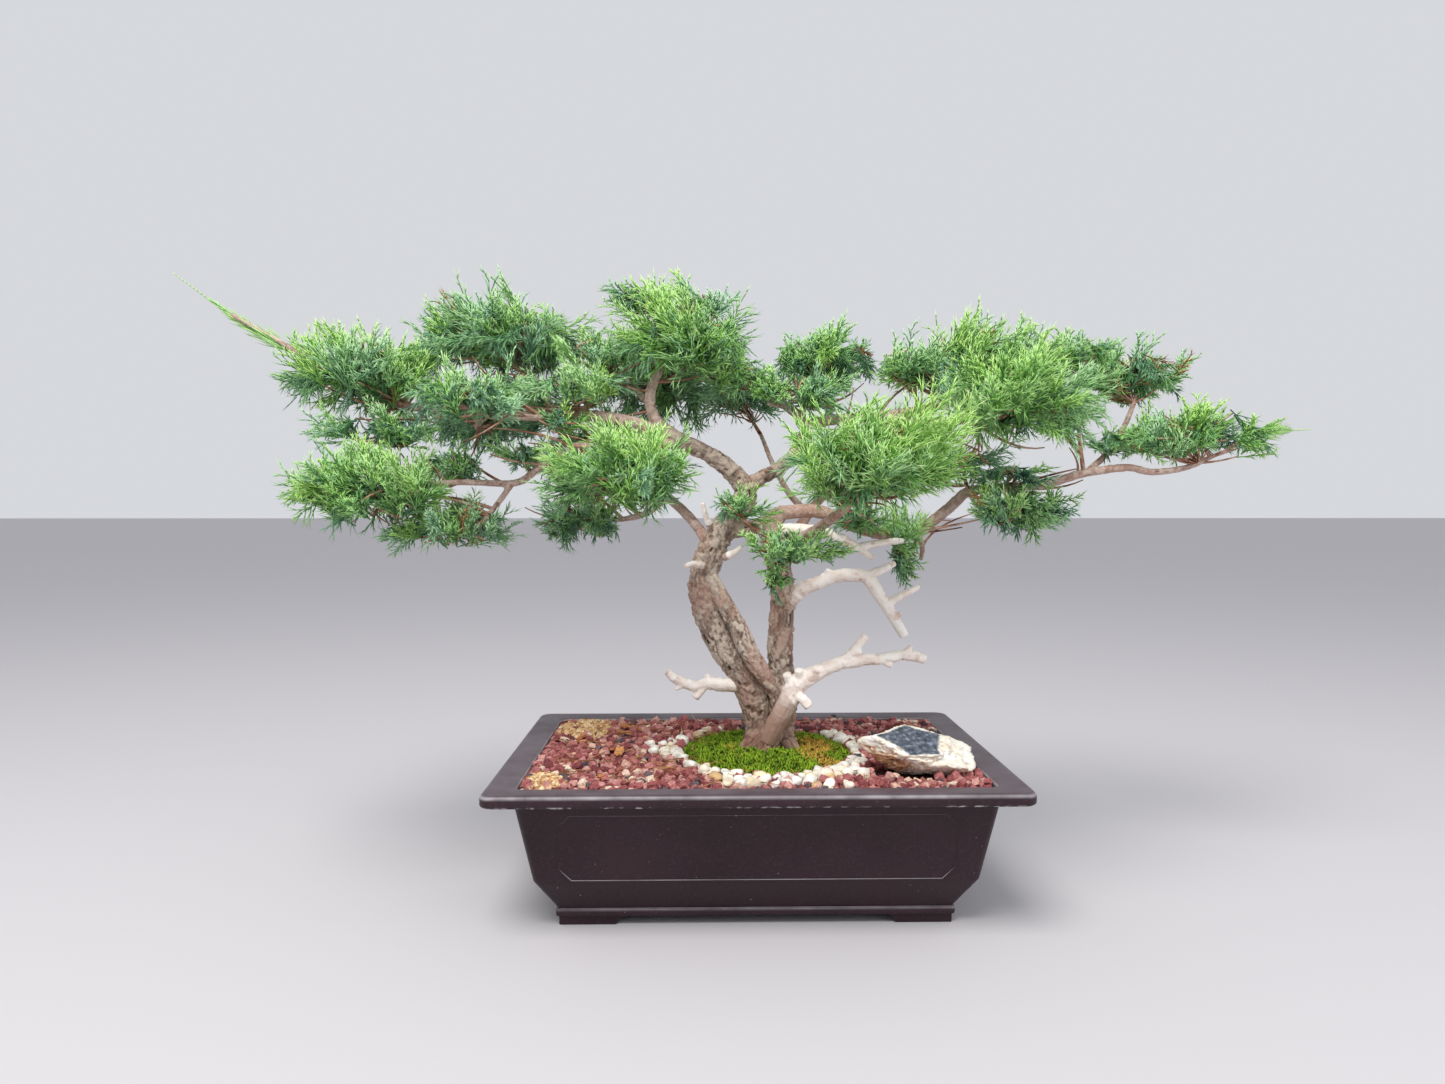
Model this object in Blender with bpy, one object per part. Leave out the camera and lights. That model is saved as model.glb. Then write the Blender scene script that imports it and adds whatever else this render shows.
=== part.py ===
"""Juniper bonsai in a rectangular plastic training pot.

Metres, +Z up. The origin is the middle of the pot's footprint on the ground,
+X runs along the pot's long side and -Y is the pot's front.
"""

import math

import bmesh
import bpy
from mathutils import Matrix, Vector, noise

MM = 0.001

# ---- driving dimensions, metres ----
POT_LENGTH = 0.416
POT_WIDTH = 0.308
POT_HEIGHT = 0.117
POT_WALL = 0.0045
RIM_BAND = 0.024
RIM_LIP = 0.0085
RIM_CORNER = 0.010
FOOT_HEIGHT = 0.0075
FOOT_INSET = 0.0525
FOOT_WIDTH = 0.013
FOOT_REACH = 0.052
FLOOR_THICK = 0.005
BASE_INSET = 0.0500
BASE_BAND = 0.006
DRAIN_HOLE_RADIUS = 0.010
DRAIN_HOLE_SPACING = 0.150
SCREEN_SIDE = 0.036
SCREEN_THICK = 0.0012
PANEL_END_MARGIN = 0.0545
PANEL_TOP = 0.022
PANEL_RISE = 0.0415
PANEL_CLIP = 0.010
PANEL_LINE = 0.0030
PANEL_RELIEF = 0.0007
FILL_DEPTH = 0.006
GRAVEL_THICK = 0.014
CLEARANCE = 0.0003

MOSS_HALF_X = 0.0755
MOSS_HALF_Y = 0.090
MOSS_OFFSET = (-0.0045, -0.012)
MOSS_CROWN = 0.0085
PEBBLE_SIZE = 0.0105
PEBBLE_COUNT = 46
PEBBLE_REACH = 0.0068
STONE_LENGTH = 0.092
STONE_DEPTH = 0.056
STONE_HEIGHT = 0.040
STONE_GAP_RIGHT = 0.0055
STONE_GAP_FRONT = 0.026
GRANULE_THICK = 0.007

TREE_SCALE = 1.0
TREE_X = 0.018
TREE_Y = 0.010
WOOD_SIDES = 3
ROOT_DEPTH = 0.034

# ---- derived levels ----
GRAVEL_TOP = POT_HEIGHT - FILL_DEPTH
SOIL_TOP = GRAVEL_TOP - GRAVEL_THICK
FLOOR_TOP = FOOT_HEIGHT + FLOOR_THICK
PANEL_BOTTOM = POT_HEIGHT - PANEL_RISE
MOSS_X = TREE_X + MOSS_OFFSET[0]
MOSS_Y = TREE_Y + MOSS_OFFSET[1]

# The pot's outer wall, as (depth below the rim, inset from the rim's edge). It runs nearly
# straight from the rim to the knee, and turns in below it to the base band.
WALL_START = 0.0128
WALL_END = POT_HEIGHT - FOOT_HEIGHT - BASE_BAND
WALL_DROP = WALL_END - WALL_START
WALL_PROFILE = [
    (WALL_END, 0.0515),
    (WALL_END - 0.105 * WALL_DROP, 0.0457),
    (WALL_END - 0.215 * WALL_DROP, 0.0392),
    (WALL_END - 0.298 * WALL_DROP, 0.0345),
    (WALL_START, 0.0217),
]

# ---- the tree, as (x, y, height above the rim, thickness), in millimetres ----
FOOT_OF_TREE = (18, 10)
LEFT_TRUNK = [
    (18, 10, -14, 46), (18, 10, 1, 42), (15, 9, 10, 36), (6, 8, 40, 30), (-10, 8, 71, 28),
    (-28, 9, 98, 27), (-39, 10, 125, 26), (-42, 10, 147, 25), (-34, 11, 174, 24),
    (-23, 12, 193, 23), (-10, 12, 211, 22), (-4, 12, 227, 19), (-17, 11, 244, 16),
    (-34, 9, 257, 14.5), (-52, 7, 266, 14), (-70, 5, 274, 13),
]
RIGHT_TRUNK = [
    (20, 8, 4, 34), (27, 7, 22, 26), (30, 6, 49, 23), (27, 7, 72, 22), (27, 8, 100, 22),
    (29, 9, 127, 21.5), (28, 10, 145, 21), (24, 12, 165, 20), (19, 14, 183, 18),
    (22, 16, 196, 15), (28, 18, 210, 12),
]
MIDDLE_LIMB = [
    (28, -8, 30, 17), (27, -9, 49, 14), (15, -9, 68, 13), (3, -8, 87, 12.5), (-8, -6, 110, 12),
    (-19, -2, 128, 12), (-34, 4, 149, 12),
]
CROSS_LIMB = [(-20, 12, 190, 14), (4, 14, 194, 13), (16, 16, 200, 12), (26, 18, 208, 11)]
FORK_LIMB = [
    (-4, 12, 228, 14), (8, 13, 237, 13), (23, 14, 245, 12), (38, 14, 258, 11), (48, 15, 276, 10),
    (50, 16, 285, 9.5), (42, 18, 295, 9), (31, 20, 303, 8), (16, 22, 306, 7),
]
ROOT_FLARES = [
    [(12, 4, 14, 22), (0, -3, 4, 15), (-10, -10, -6, 9)],
    [(22, 4, 16, 22), (33, -5, 4, 15), (42, -12, -6, 9)],
    [(20, 14, 14, 22), (29, 26, 3, 14), (36, 36, -6, 8)],
    [(12, 14, 14, 22), (2, 25, 3, 14), (-6, 34, -6, 8)],
]

LIVE_BRANCHES = {
    "branch_apex": [
        [(-72, 5, 275, 11), (-84, 4, 290, 10), (-88, 2, 310, 9), (-80, 0, 332, 8),
         (-72, -2, 356, 6.5), (-70, -2, 384, 5)],
        [(-86, 4, 300, 7), (-98, 20, 312, 6), (-108, 44, 322, 5), (-112, 62, 330, 4)],
        [(-78, 0, 336, 6), (-52, 2, 350, 5), (-34, 4, 362, 4)],
    ],
    "branch_left_upper": [
        [(-74, 5, 276, 12), (-104, 4, 286, 11), (-140, 4, 292, 10), (-176, 6, 294, 9.5),
         (-208, 8, 295, 9), (-236, 8, 294, 8.5), (-276, 6, 297, 7.5), (-319, 3, 304, 6.5),
         (-359, 0, 323, 5.5), (-402, -4, 352, 4.5), (-446, -8, 377, 3.5)],
        [(-176, 8, 294, 7), (-182, 18, 314, 6), (-200, 30, 334, 5), (-222, 40, 352, 4)],
        [(-232, 8, 293, 6), (-244, 34, 288, 5.5), (-252, 66, 286, 5), (-254, 98, 290, 4)],
    ],
    "branch_left_lower": [
        [(-72, 3, 268, 11), (-100, -4, 268, 10), (-134, -8, 268, 9), (-160, -10, 263, 8.5),
         (-183, -14, 243, 8), (-196, -18, 232, 8), (-211, -22, 230, 7.5), (-246, -34, 232, 6.5),
         (-291, -50, 229, 5.5), (-320, -58, 226, 4)],
        [(-206, -22, 228, 7), (-217, -22, 214, 6), (-232, -20, 196, 5.5), (-248, -20, 194, 4)],
        [(-120, -8, 267, 7), (-122, -34, 256, 6), (-114, -54, 240, 5), (-108, -66, 228, 4)],
    ],
    "branch_right_long": [
        [(36, 20, 212, 13), (62, 20, 208, 12), (92, 20, 196, 11.5), (120, 18, 188, 11),
         (148, 14, 190, 10.5), (161, 12, 198, 10), (180, 10, 214, 9.5), (194, 8, 226, 9),
         (220, 6, 229, 8.5), (248, 4, 231, 8), (268, 4, 234, 8), (295, 3, 242, 7.5),
         (333, 2, 247, 6.5), (355, 1, 243, 6), (385, 0, 247, 5), (410, -2, 258, 4),
         (428, -3, 264, 3.4)],
        [(196, 8, 224, 6), (207, 0, 210, 5.5), (222, -14, 206, 5), (234, -26, 206, 4)],
        [(298, 4, 243, 6), (322, 16, 262, 5.5), (344, 34, 288, 5), (360, 46, 318, 4)],
        [(150, 14, 188, 6), (156, 22, 176, 5), (156, 28, 164, 4)],
    ],
    "branch_right_upper": [
        [(52, 18, 286, 10), (74, 20, 290, 9.5), (104, 18, 292, 9), (138, 14, 296, 8.5),
         (170, 12, 303, 7.5), (200, 10, 314, 6), (226, 10, 326, 4.5)],
        [(116, 17, 292, 7), (142, -12, 286, 6.5), (172, -40, 284, 6), (204, -62, 290, 4.5)],
        [(70, 21, 292, 7), (74, 34, 308, 6), (75, 46, 330, 4.5)],
    ],
    "branch_right_front": [
        [(28, 2, 174, 11), (38, -18, 182, 10), (54, -44, 194, 9), (72, -68, 210, 7.5),
         (88, -86, 228, 5.5)],
        [(36, -14, 182, 7), (30, -34, 178, 6), (28, -52, 172, 4.5)],
    ],
    "branch_back_left": [
        [(-34, 20, 176, 10), (-44, 38, 190, 9.5), (-60, 62, 208, 9), (-84, 90, 228, 8),
         (-110, 116, 246, 6.5), (-134, 138, 262, 4.5)],
        [(-76, 82, 222, 7), (-96, 84, 206, 6), (-124, 88, 200, 5), (-150, 92, 202, 4)],
    ],
    "branch_back_right": [
        [(34, 26, 178, 10), (46, 44, 192, 9.5), (62, 68, 212, 9), (84, 96, 232, 8),
         (108, 120, 250, 6.5), (132, 138, 264, 4.5)],
        [(56, 60, 206, 7), (40, 84, 226, 6), (26, 110, 256, 5), (16, 128, 284, 4)],
    ],
}

DEAD_BRANCHES = {
    "jin_lower_right": [
        [(20, -14, 24, 21), (29, -18, 43, 18), (40, -20, 60, 16), (53, -22, 68, 13),
         (62, -22, 72, 12), (77, -22, 78, 11), (93, -21, 80, 10.5), (112, -20, 81, 9),
         (130, -19, 84, 8), (142, -18, 82, 7), (152, -17, 78, 4)],
        [(76, -22, 78, 9), (84, -23, 84, 8), (92, -24, 94, 7), (99, -25, 103, 4)],
        [(134, -19, 84, 5), (143, -19, 92, 3)],
        [(118, -20, 81, 5), (124, -21, 74, 3)],
        [(36, -21, 56, 9), (44, -24, 46, 8), (49, -25, 38, 4)],
        [(34, -20, 58, 8), (31, -23, 68, 5)],
    ],
    "jin_upper_right": [
        [(32, 8, 126, 14), (44, 6, 138, 13), (57, 4, 144, 12), (75, 2, 151, 11.5),
         (93, 0, 152, 11), (104, -1, 149, 10), (113, -2, 135, 9.5), (119, -3, 126, 9),
         (128, -4, 111, 8), (135, -5, 98, 6)],
        [(100, 0, 150, 8), (112, 2, 155, 7), (121, 3, 158, 6), (130, 4, 164, 3)],
        [(120, -3, 127, 7), (130, -2, 134, 6.5), (139, -1, 138, 6), (150, 0, 142, 3)],
        [(66, 3, 148, 6), (69, 2, 157, 3)],
    ],
    "jin_second_right": [
        [(30, 14, 194, 12), (46, 8, 192, 11), (62, 4, 190, 10), (77, 2, 185, 9.5),
         (93, 0, 177, 8.5), (108, -2, 167, 5)],
        [(96, 0, 177, 7), (104, 0, 179, 6.5), (128, 2, 182, 6), (144, 3, 182, 3)],
    ],
    "jin_lower_left": [
        [(-12, 6, 56, 14), (-24, 2, 55, 12), (-38, 0, 57, 11), (-47, -1, 54, 9.5),
         (-60, -2, 58, 8.5), (-68, -3, 63, 7.5), (-75, -3, 69, 4)],
        [(-40, 0, 56, 8), (-46, -2, 48, 7), (-50, -3, 44, 4)],
        [(-36, 0, 58, 7), (-39, -1, 65, 4)],
        [(-58, -2, 57, 6), (-66, -4, 52, 3)],
    ],
}

# ---- foliage pads, as name: (x, y, height above the rim, half x, half y, half z), millimetres ----
PADS = {
    "foliage_far_left": (-350, 0, 326, 78, 56, 42),
    "foliage_left_low": (-321, -64, 220, 70, 52, 42),
    "foliage_left_top": (-226, 44, 361, 84, 60, 48),
    "foliage_left_back": (-252, 118, 298, 74, 54, 36),
    "foliage_left_front": (-232, -76, 286, 62, 46, 34),
    "foliage_low_left": (-244, -16, 186, 66, 50, 30),
    "foliage_centre_left": (-108, -100, 222, 64, 66, 50),
    "foliage_apex": (-64, -6, 372, 66, 60, 70),
    "foliage_apex_back": (-96, 84, 336, 56, 54, 54),
    "foliage_under_apex": (-128, 30, 268, 46, 34, 30),
    "foliage_centre_right_top": (74, 52, 345, 52, 48, 34),
    "foliage_right_centre": (90, -114, 243, 70, 72, 52),
    "foliage_right_top": (206, 14, 340, 84, 54, 44),
    "foliage_right_front": (216, -92, 296, 60, 62, 42),
    "foliage_right_far_upper": (362, 52, 334, 54, 50, 34),
    "foliage_right_tip": (392, 0, 268, 74, 44, 36),
    "foliage_right_low": (236, -34, 206, 46, 46, 36),
    "foliage_centre_low": (24, -62, 172, 44, 38, 28),
    "foliage_hanging": (156, 34, 158, 26, 30, 30),
    "foliage_back_left": (-142, 130, 258, 66, 54, 40),
    "foliage_back_left_low": (-160, 92, 200, 44, 38, 28),
    "foliage_back_right": (142, 134, 262, 66, 56, 40),
    "foliage_back_centre": (14, 132, 290, 52, 52, 36),
}
LEADERS = {
    "foliage_far_left": ((-412, -2, 352, 16), (-450, -4, 378, 8), (-490, -6, 410, 2.4)),
    "foliage_right_tip": ((452, 0, 276, 16), (472, 0, 280, 8), (492, 0, 282, 2.4)),
}


# ---------------------------------------------------------------- helpers

def clear_scene():
    for obj in list(bpy.data.objects):
        bpy.data.objects.remove(obj, do_unlink=True)


def collection(name, hidden=False):
    made = bpy.data.collections.new(name)
    bpy.context.scene.collection.children.link(made)
    made.hide_render = hidden
    return made


def material(name, color, roughness):
    mat = bpy.data.materials.new(name)
    mat.use_nodes = True
    shader = mat.node_tree.nodes["Principled BSDF"]
    shader.inputs["Base Color"].default_value = (*color, 1.0)
    shader.inputs["Roughness"].default_value = roughness
    shader.inputs["Metallic"].default_value = 0.0
    return mat


def object_from_bmesh(bm, name, group, mat=None, smooth=True):
    bmesh.ops.recalc_face_normals(bm, faces=bm.faces)
    mesh = bpy.data.meshes.new(name)
    bm.to_mesh(mesh)
    bm.free()
    obj = bpy.data.objects.new(name, mesh)
    group.objects.link(obj)
    if mat:
        mesh.materials.append(mat)
    if smooth:
        mesh.shade_smooth()
        mesh.set_sharp_from_angle(angle=math.radians(40))
    return obj


def apply_modifiers(obj):
    """Turn an object with modifiers into plain mesh data."""
    depsgraph = bpy.context.evaluated_depsgraph_get()
    mesh = bpy.data.meshes.new_from_object(obj.evaluated_get(depsgraph))
    obj.modifiers.clear()
    old = obj.data
    obj.data = mesh
    bpy.data.meshes.remove(old)


def boolean(obj, tool, operation, tolerate_self=False):
    mod = obj.modifiers.new(operation.lower(), "BOOLEAN")
    mod.operation = operation
    mod.object = tool
    mod.solver = "EXACT"
    mod.use_self = tolerate_self
    apply_modifiers(obj)


def remove(*objects):
    for obj in objects:
        bpy.data.objects.remove(obj, do_unlink=True)


def box(name, group, low, high):
    bm = bmesh.new()
    bmesh.ops.create_cube(bm, size=1.0)
    size = Vector(high) - Vector(low)
    bmesh.ops.scale(bm, vec=size, verts=bm.verts)
    bmesh.ops.translate(bm, vec=(Vector(high) + Vector(low)) / 2, verts=bm.verts)
    return object_from_bmesh(bm, name, group, smooth=False)


def keep_largest_body(obj):
    """Drop the crumbs that a cut can leave beside the main body."""
    bm = bmesh.new()
    bm.from_mesh(obj.data)
    unseen = set(bm.verts)
    bodies = []
    while unseen:
        stack = [unseen.pop()]
        body = set(stack)
        while stack:
            for edge in stack.pop().link_edges:
                for vert in edge.verts:
                    if vert in unseen:
                        unseen.discard(vert)
                        body.add(vert)
                        stack.append(vert)
        bodies.append(body)
    bodies.sort(key=len)
    for body in bodies[:-1]:
        bmesh.ops.delete(bm, geom=list(body), context="VERTS")
    bm.to_mesh(obj.data)
    bm.free()


def boxes_meet(one, two):
    for axis in range(3):
        a = [v.co[axis] for v in one.data.vertices]
        b = [v.co[axis] for v in two.data.vertices]
        if min(a) > max(b) + 2 * MM or min(b) > max(a) + 2 * MM:
            return False
    return True


def cut_clear_of(obj, neighbours, group):
    """Cut an object back where its neighbours stand, with a clearance, and keep one body."""
    for other in neighbours:
        if not boxes_meet(obj, other):
            continue
        space = other.copy()
        space.data = other.data.copy()
        group.objects.link(space)
        for vert in space.data.vertices:
            vert.co += vert.normal * CLEARANCE * 3
        boolean(obj, space, "DIFFERENCE")
        remove(space)
    keep_largest_body(obj)


def place(point):
    """A tree point in millimetres above the rim, as a place in metres above the ground."""
    x, y, rise = point[:3]
    grow = MM * TREE_SCALE
    return Vector((TREE_X + (x - FOOT_OF_TREE[0]) * grow, TREE_Y + (y - FOOT_OF_TREE[1]) * grow,
                   POT_HEIGHT + rise * grow))


def smooth_route(points, step):
    """Points about a step apart on a Catmull-Rom curve, each with its radius."""
    spots = [place(p) for p in points]
    radii = [p[3] * MM / 2 * TREE_SCALE for p in points]
    spots = [spots[0] * 2 - spots[1]] + spots + [spots[-1] * 2 - spots[-2]]
    route = []
    for i in range(1, len(spots) - 2):
        a, b, c, d = spots[i - 1:i + 3]
        count = max(1, round((c - b).length / step))
        for j in range(count):
            t = j / count
            spot = 0.5 * (2 * b + (c - a) * t + (2 * a - 5 * b + 4 * c - d) * t * t
                          + (3 * b - a - 3 * c + d) * t ** 3)
            route.append((spot, radii[i - 1] * (1 - t) + radii[i] * t))
    route.append((spots[-2], radii[-1]))
    return route


def wood_tube(points, group, grow=0.0, step=0.014):
    """A closed tapered tube along the points of one limb, thicker all round by grow."""
    route = smooth_route(points, step)
    curve = bpy.data.curves.new("limb", "CURVE")
    curve.dimensions = "3D"
    curve.bevel_depth = 1.0
    curve.bevel_resolution = WOOD_SIDES - 1
    curve.use_fill_caps = True
    spline = curve.splines.new("POLY")
    spline.points.add(len(route) - 1)
    for point, (spot, radius) in zip(spline.points, route):
        point.co = (*spot, 1.0)
        point.radius = radius + grow
    if grow:
        first = route[0][0] - route[1][0]
        last = route[-1][0] - route[-2][0]
        spline.points[0].co = (*(route[0][0] + first.normalized() * grow), 1.0)
        spline.points[-1].co = (*(route[-1][0] + last.normalized() * grow), 1.0)
    tube = bpy.data.objects.new("limb", curve)
    group.objects.link(tube)
    depsgraph = bpy.context.evaluated_depsgraph_get()
    depsgraph.update()
    mesh = bpy.data.meshes.new_from_object(tube.evaluated_get(depsgraph))
    bm = bmesh.new()
    bm.from_mesh(mesh)
    bmesh.ops.remove_doubles(bm, verts=bm.verts, dist=0.00001)
    remove(tube)
    bpy.data.meshes.remove(mesh)
    return object_from_bmesh(bm, "limb", group)


def union_of_limbs(limbs, name, group, mat=None, grow=0.0):
    tubes = [wood_tube(points, group, grow) for points in limbs]
    body = tubes[0]
    for tube in tubes[1:]:
        boolean(body, tube, "UNION")
        remove(tube)
    body.name = name
    if mat:
        body.data.materials.clear()
        body.data.materials.append(mat)
    return body


# ---------------------------------------------------------------- pot and fill

def rounded_outline(half_x, half_y, corner, z, segments=5):
    """The corner points of a rectangle with round corners, anticlockwise from above."""
    points = []
    for quarter, (sx, sy) in enumerate(((1, 1), (-1, 1), (-1, -1), (1, -1))):
        for i in range(segments + 1):
            angle = math.radians(90 * quarter + 90 * i / segments)
            x = sx * (half_x - corner) + corner * math.cos(angle)
            y = sy * (half_y - corner) + corner * math.sin(angle)
            points.append((x, y, z))
    return points


def stacked_sections(sections, name, group, mat):
    """A closed body through round-cornered rectangles, each (inset from the rim, height)."""
    bm = bmesh.new()
    ring = []
    for inset, z in sections:
        corner = max(RIM_CORNER - 0.12 * inset, 0.004)
        outline = rounded_outline(POT_LENGTH / 2 - inset, POT_WIDTH / 2 - inset, corner, z)
        if not ring:
            ring = [bm.verts.new(point) for point in outline]
            bm.faces.new(ring)
            continue
        edges = [bm.edges.get(pair) for pair in zip(ring, ring[1:] + ring[:1])]
        grown = bmesh.ops.extrude_edge_only(bm, edges=edges)
        new = {tuple(v.co): v for v in grown["geom"] if isinstance(v, bmesh.types.BMVert)}
        ring = [new[tuple(vert.co)] for vert in ring]
        for vert, spot in zip(ring, outline):
            vert.co = spot
    bm.faces.new(ring)
    return object_from_bmesh(bm, name, group, mat)


def inner_inset(depth):
    """The inset of the pot's inner wall at a depth below the rim."""
    line = [(0.0, RIM_BAND)] + [(level, inset + POT_WALL) for level, inset in WALL_PROFILE[::-1]]
    for (above, narrow), (below, wide) in zip(line, line[1:]):
        if depth <= below:
            return narrow + (wide - narrow) * (depth - above) / (below - above)
    return line[-1][1]


def inner_wall(top_depth, floor_gap, wall_gap):
    """Sections of whatever lines or fills the pot, from the floor up to a depth."""
    cove = 0.004
    sections = [(inner_inset(POT_HEIGHT - FLOOR_TOP) + cove + wall_gap, FLOOR_TOP + floor_gap),
                (inner_inset(POT_HEIGHT - FLOOR_TOP - cove) + wall_gap, FLOOR_TOP + cove)]
    for depth, inset in WALL_PROFILE:
        if top_depth < depth < POT_HEIGHT - FLOOR_TOP - cove:
            sections.append((inset + POT_WALL + wall_gap, POT_HEIGHT - depth))
    return sections


def pot_feet(group, tools):
    """Four corner feet: a band under the base, cut through on all four sides."""
    x = POT_LENGTH / 2 - FOOT_INSET
    y = POT_WIDTH / 2 - FOOT_INSET
    top = FOOT_HEIGHT + POT_WALL / 2
    feet = box("feet", group, (-x, -y, 0), (x, y, top))
    core = box("feet_core", tools, (-x + FOOT_WIDTH, -y + FOOT_WIDTH, -1 * MM),
               (x - FOOT_WIDTH, y - FOOT_WIDTH, top + 1 * MM))
    boolean(feet, core, "DIFFERENCE")
    remove(core)
    for half, other, turn in ((x, y, 0.0), (y, x, math.pi / 2)):
        gap = half - FOOT_REACH
        cut = box("feet_gap", tools, (-gap, -other - 10 * MM, -1 * MM),
                  (gap, other + 10 * MM, top + 1 * MM))
        for vert in cut.data.vertices:
            if vert.co.z < 0:
                vert.co.x *= (gap + FOOT_HEIGHT) / gap
            vert.co = Matrix.Rotation(turn, 3, "Z") @ vert.co
        boolean(feet, cut, "DIFFERENCE")
        remove(cut)
    return feet


def panel_frame(group, side):
    """The raised line of a clipped-corner panel on the front (-1) or back (+1) wall."""
    (low_depth, low_inset), (high_depth, high_inset) = WALL_PROFILE[3], WALL_PROFILE[4]
    lean = math.atan2(low_inset - high_inset, low_depth - high_depth)
    middle = (PANEL_TOP + PANEL_BOTTOM) / 2
    half_height = (PANEL_BOTTOM - PANEL_TOP) / 2 / math.cos(lean)
    curve = bpy.data.curves.new("panel", "CURVE")
    curve.dimensions = "2D"
    curve.fill_mode = "BOTH"
    curve.extrude = PANEL_RELIEF
    for shrink in (0.0, PANEL_LINE):
        hx = POT_LENGTH / 2 - PANEL_END_MARGIN - shrink
        hy = half_height - shrink
        clip = PANEL_CLIP - shrink * (2 - math.sqrt(2))
        outline = [(hx, -hy + clip), (hx, hy - clip), (hx - clip, hy), (-hx + clip, hy),
                   (-hx, hy - clip), (-hx, -hy + clip), (-hx + clip, -hy), (hx - clip, -hy)]
        spline = curve.splines.new("POLY")
        spline.points.add(len(outline) - 1)
        spline.use_cyclic_u = True
        for point, (px, py) in zip(spline.points, outline):
            point.co = (px, py, 0, 1)
    frame = bpy.data.objects.new("panel", curve)
    group.objects.link(frame)
    slope = (low_inset - high_inset) / (low_depth - high_depth)
    inset = high_inset + slope * (middle - high_depth)
    lay = Matrix.Translation((0, side * (POT_WIDTH / 2 - inset), POT_HEIGHT - middle))
    turn = Matrix.Rotation(math.pi if side > 0 else 0.0, 4, "Z")
    frame.matrix_world = lay @ turn @ Matrix.Rotation(math.pi / 2 + lean, 4, "X")
    bpy.context.view_layer.update()
    depsgraph = bpy.context.evaluated_depsgraph_get()
    mesh = bpy.data.meshes.new_from_object(frame.evaluated_get(depsgraph))
    bm = bmesh.new()
    bm.from_mesh(mesh)
    bmesh.ops.remove_doubles(bm, verts=bm.verts, dist=0.00001)
    bmesh.ops.transform(bm, matrix=frame.matrix_world, verts=bm.verts)
    remove(frame)
    bpy.data.meshes.remove(mesh)
    return object_from_bmesh(bm, "panel", group, smooth=False)


def drain_places():
    return [(-DRAIN_HOLE_SPACING / 2, 0.0), (DRAIN_HOLE_SPACING / 2, 0.0)]


def make_pot(parts, tools, mat):
    band_top = WALL_PROFILE[0][0] + 1 * MM
    outside = [(BASE_INSET + 1 * MM, FOOT_HEIGHT), (BASE_INSET, FOOT_HEIGHT + 1 * MM),
               (BASE_INSET, POT_HEIGHT - band_top)]
    outside += [(inset, POT_HEIGHT - depth) for depth, inset in WALL_PROFILE]
    rim = [
        (0.0014, POT_HEIGHT - RIM_LIP - 0.0012),
        (0.0, POT_HEIGHT - RIM_LIP),
        (0.0006, POT_HEIGHT - 0.0016),
        (0.0022, POT_HEIGHT),
        (RIM_BAND - 0.0016, POT_HEIGHT - 0.0006),
        (RIM_BAND, POT_HEIGHT - 0.0022),
    ]
    inside = inner_wall(0.0, 0.0, 0.0)[::-1]
    pot = stacked_sections(outside + rim + inside, "pot", parts, mat)
    feet = pot_feet(parts, tools)
    boolean(pot, feet, "UNION")
    remove(feet)
    for side in (-1, 1):
        frame = panel_frame(parts, side)
        boolean(pot, frame, "UNION")
        remove(frame)
    for x, y in drain_places():
        bm = bmesh.new()
        bmesh.ops.create_cone(bm, cap_ends=True, segments=20, radius1=DRAIN_HOLE_RADIUS,
                              radius2=DRAIN_HOLE_RADIUS, depth=4 * FLOOR_THICK,
                              matrix=Matrix.Translation((x, y, FOOT_HEIGHT + FLOOR_THICK / 2)))
        drill = object_from_bmesh(bm, "drain_hole", tools)
        boolean(pot, drill, "DIFFERENCE")
        remove(drill)
    pot.data.materials.clear()
    pot.data.materials.append(mat)
    pot.data.shade_smooth()
    pot.data.set_sharp_from_angle(angle=math.radians(35))
    return pot


def make_screens(parts, mat):
    """A square drain screen over each hole."""
    for name, (x, y) in zip(("drain_screen_left", "drain_screen_right"), drain_places()):
        half = SCREEN_SIDE / 2
        bottom = FLOOR_TOP + CLEARANCE
        screen = box(name, parts, (x - half, y - half, bottom),
                     (x + half, y + half, bottom + SCREEN_THICK))
        screen.data.materials.append(mat)


def make_soil(parts, tools, mat, root_space):
    soil_depth = POT_HEIGHT - SOIL_TOP
    sections = inner_wall(soil_depth, CLEARANCE, CLEARANCE)
    sections.append((inner_inset(soil_depth) + CLEARANCE, SOIL_TOP))
    soil = stacked_sections(sections, "soil", parts, mat)
    for x, y in drain_places():
        half = SCREEN_SIDE / 2 + CLEARANCE
        top = FLOOR_TOP + SCREEN_THICK + 2 * CLEARANCE
        pocket = box("screen_pocket", tools, (x - half, y - half, FOOT_HEIGHT),
                     (x + half, y + half, top))
        boolean(soil, pocket, "DIFFERENCE")
        remove(pocket)
    boolean(soil, root_space, "DIFFERENCE")
    return soil


def moss_bowl(group, grow, height):
    """The moss mound's space in the gravel: an upright oval cylinder."""
    bm = bmesh.new()
    bmesh.ops.create_cone(bm, cap_ends=True, segments=28, radius1=1.0, radius2=1.0, depth=height)
    bmesh.ops.scale(bm, vec=(MOSS_HALF_X + grow, MOSS_HALF_Y + grow, 1), verts=bm.verts)
    bmesh.ops.translate(bm, vec=(MOSS_X, MOSS_Y, SOIL_TOP + height / 2), verts=bm.verts)
    return object_from_bmesh(bm, "moss_bowl", group)


def make_gravel(parts, tools, mat):
    sections = [
        (inner_inset(POT_HEIGHT - SOIL_TOP) + CLEARANCE, SOIL_TOP + CLEARANCE),
        (inner_inset(FILL_DEPTH) + CLEARANCE, GRAVEL_TOP),
    ]
    gravel = stacked_sections(sections, "lava_gravel", parts, mat)
    bowl = moss_bowl(tools, CLEARANCE, 0.06)
    bowl.location.z -= 0.01
    bpy.context.view_layer.update()
    boolean(gravel, bowl, "DIFFERENCE")
    remove(bowl)
    return gravel


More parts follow.
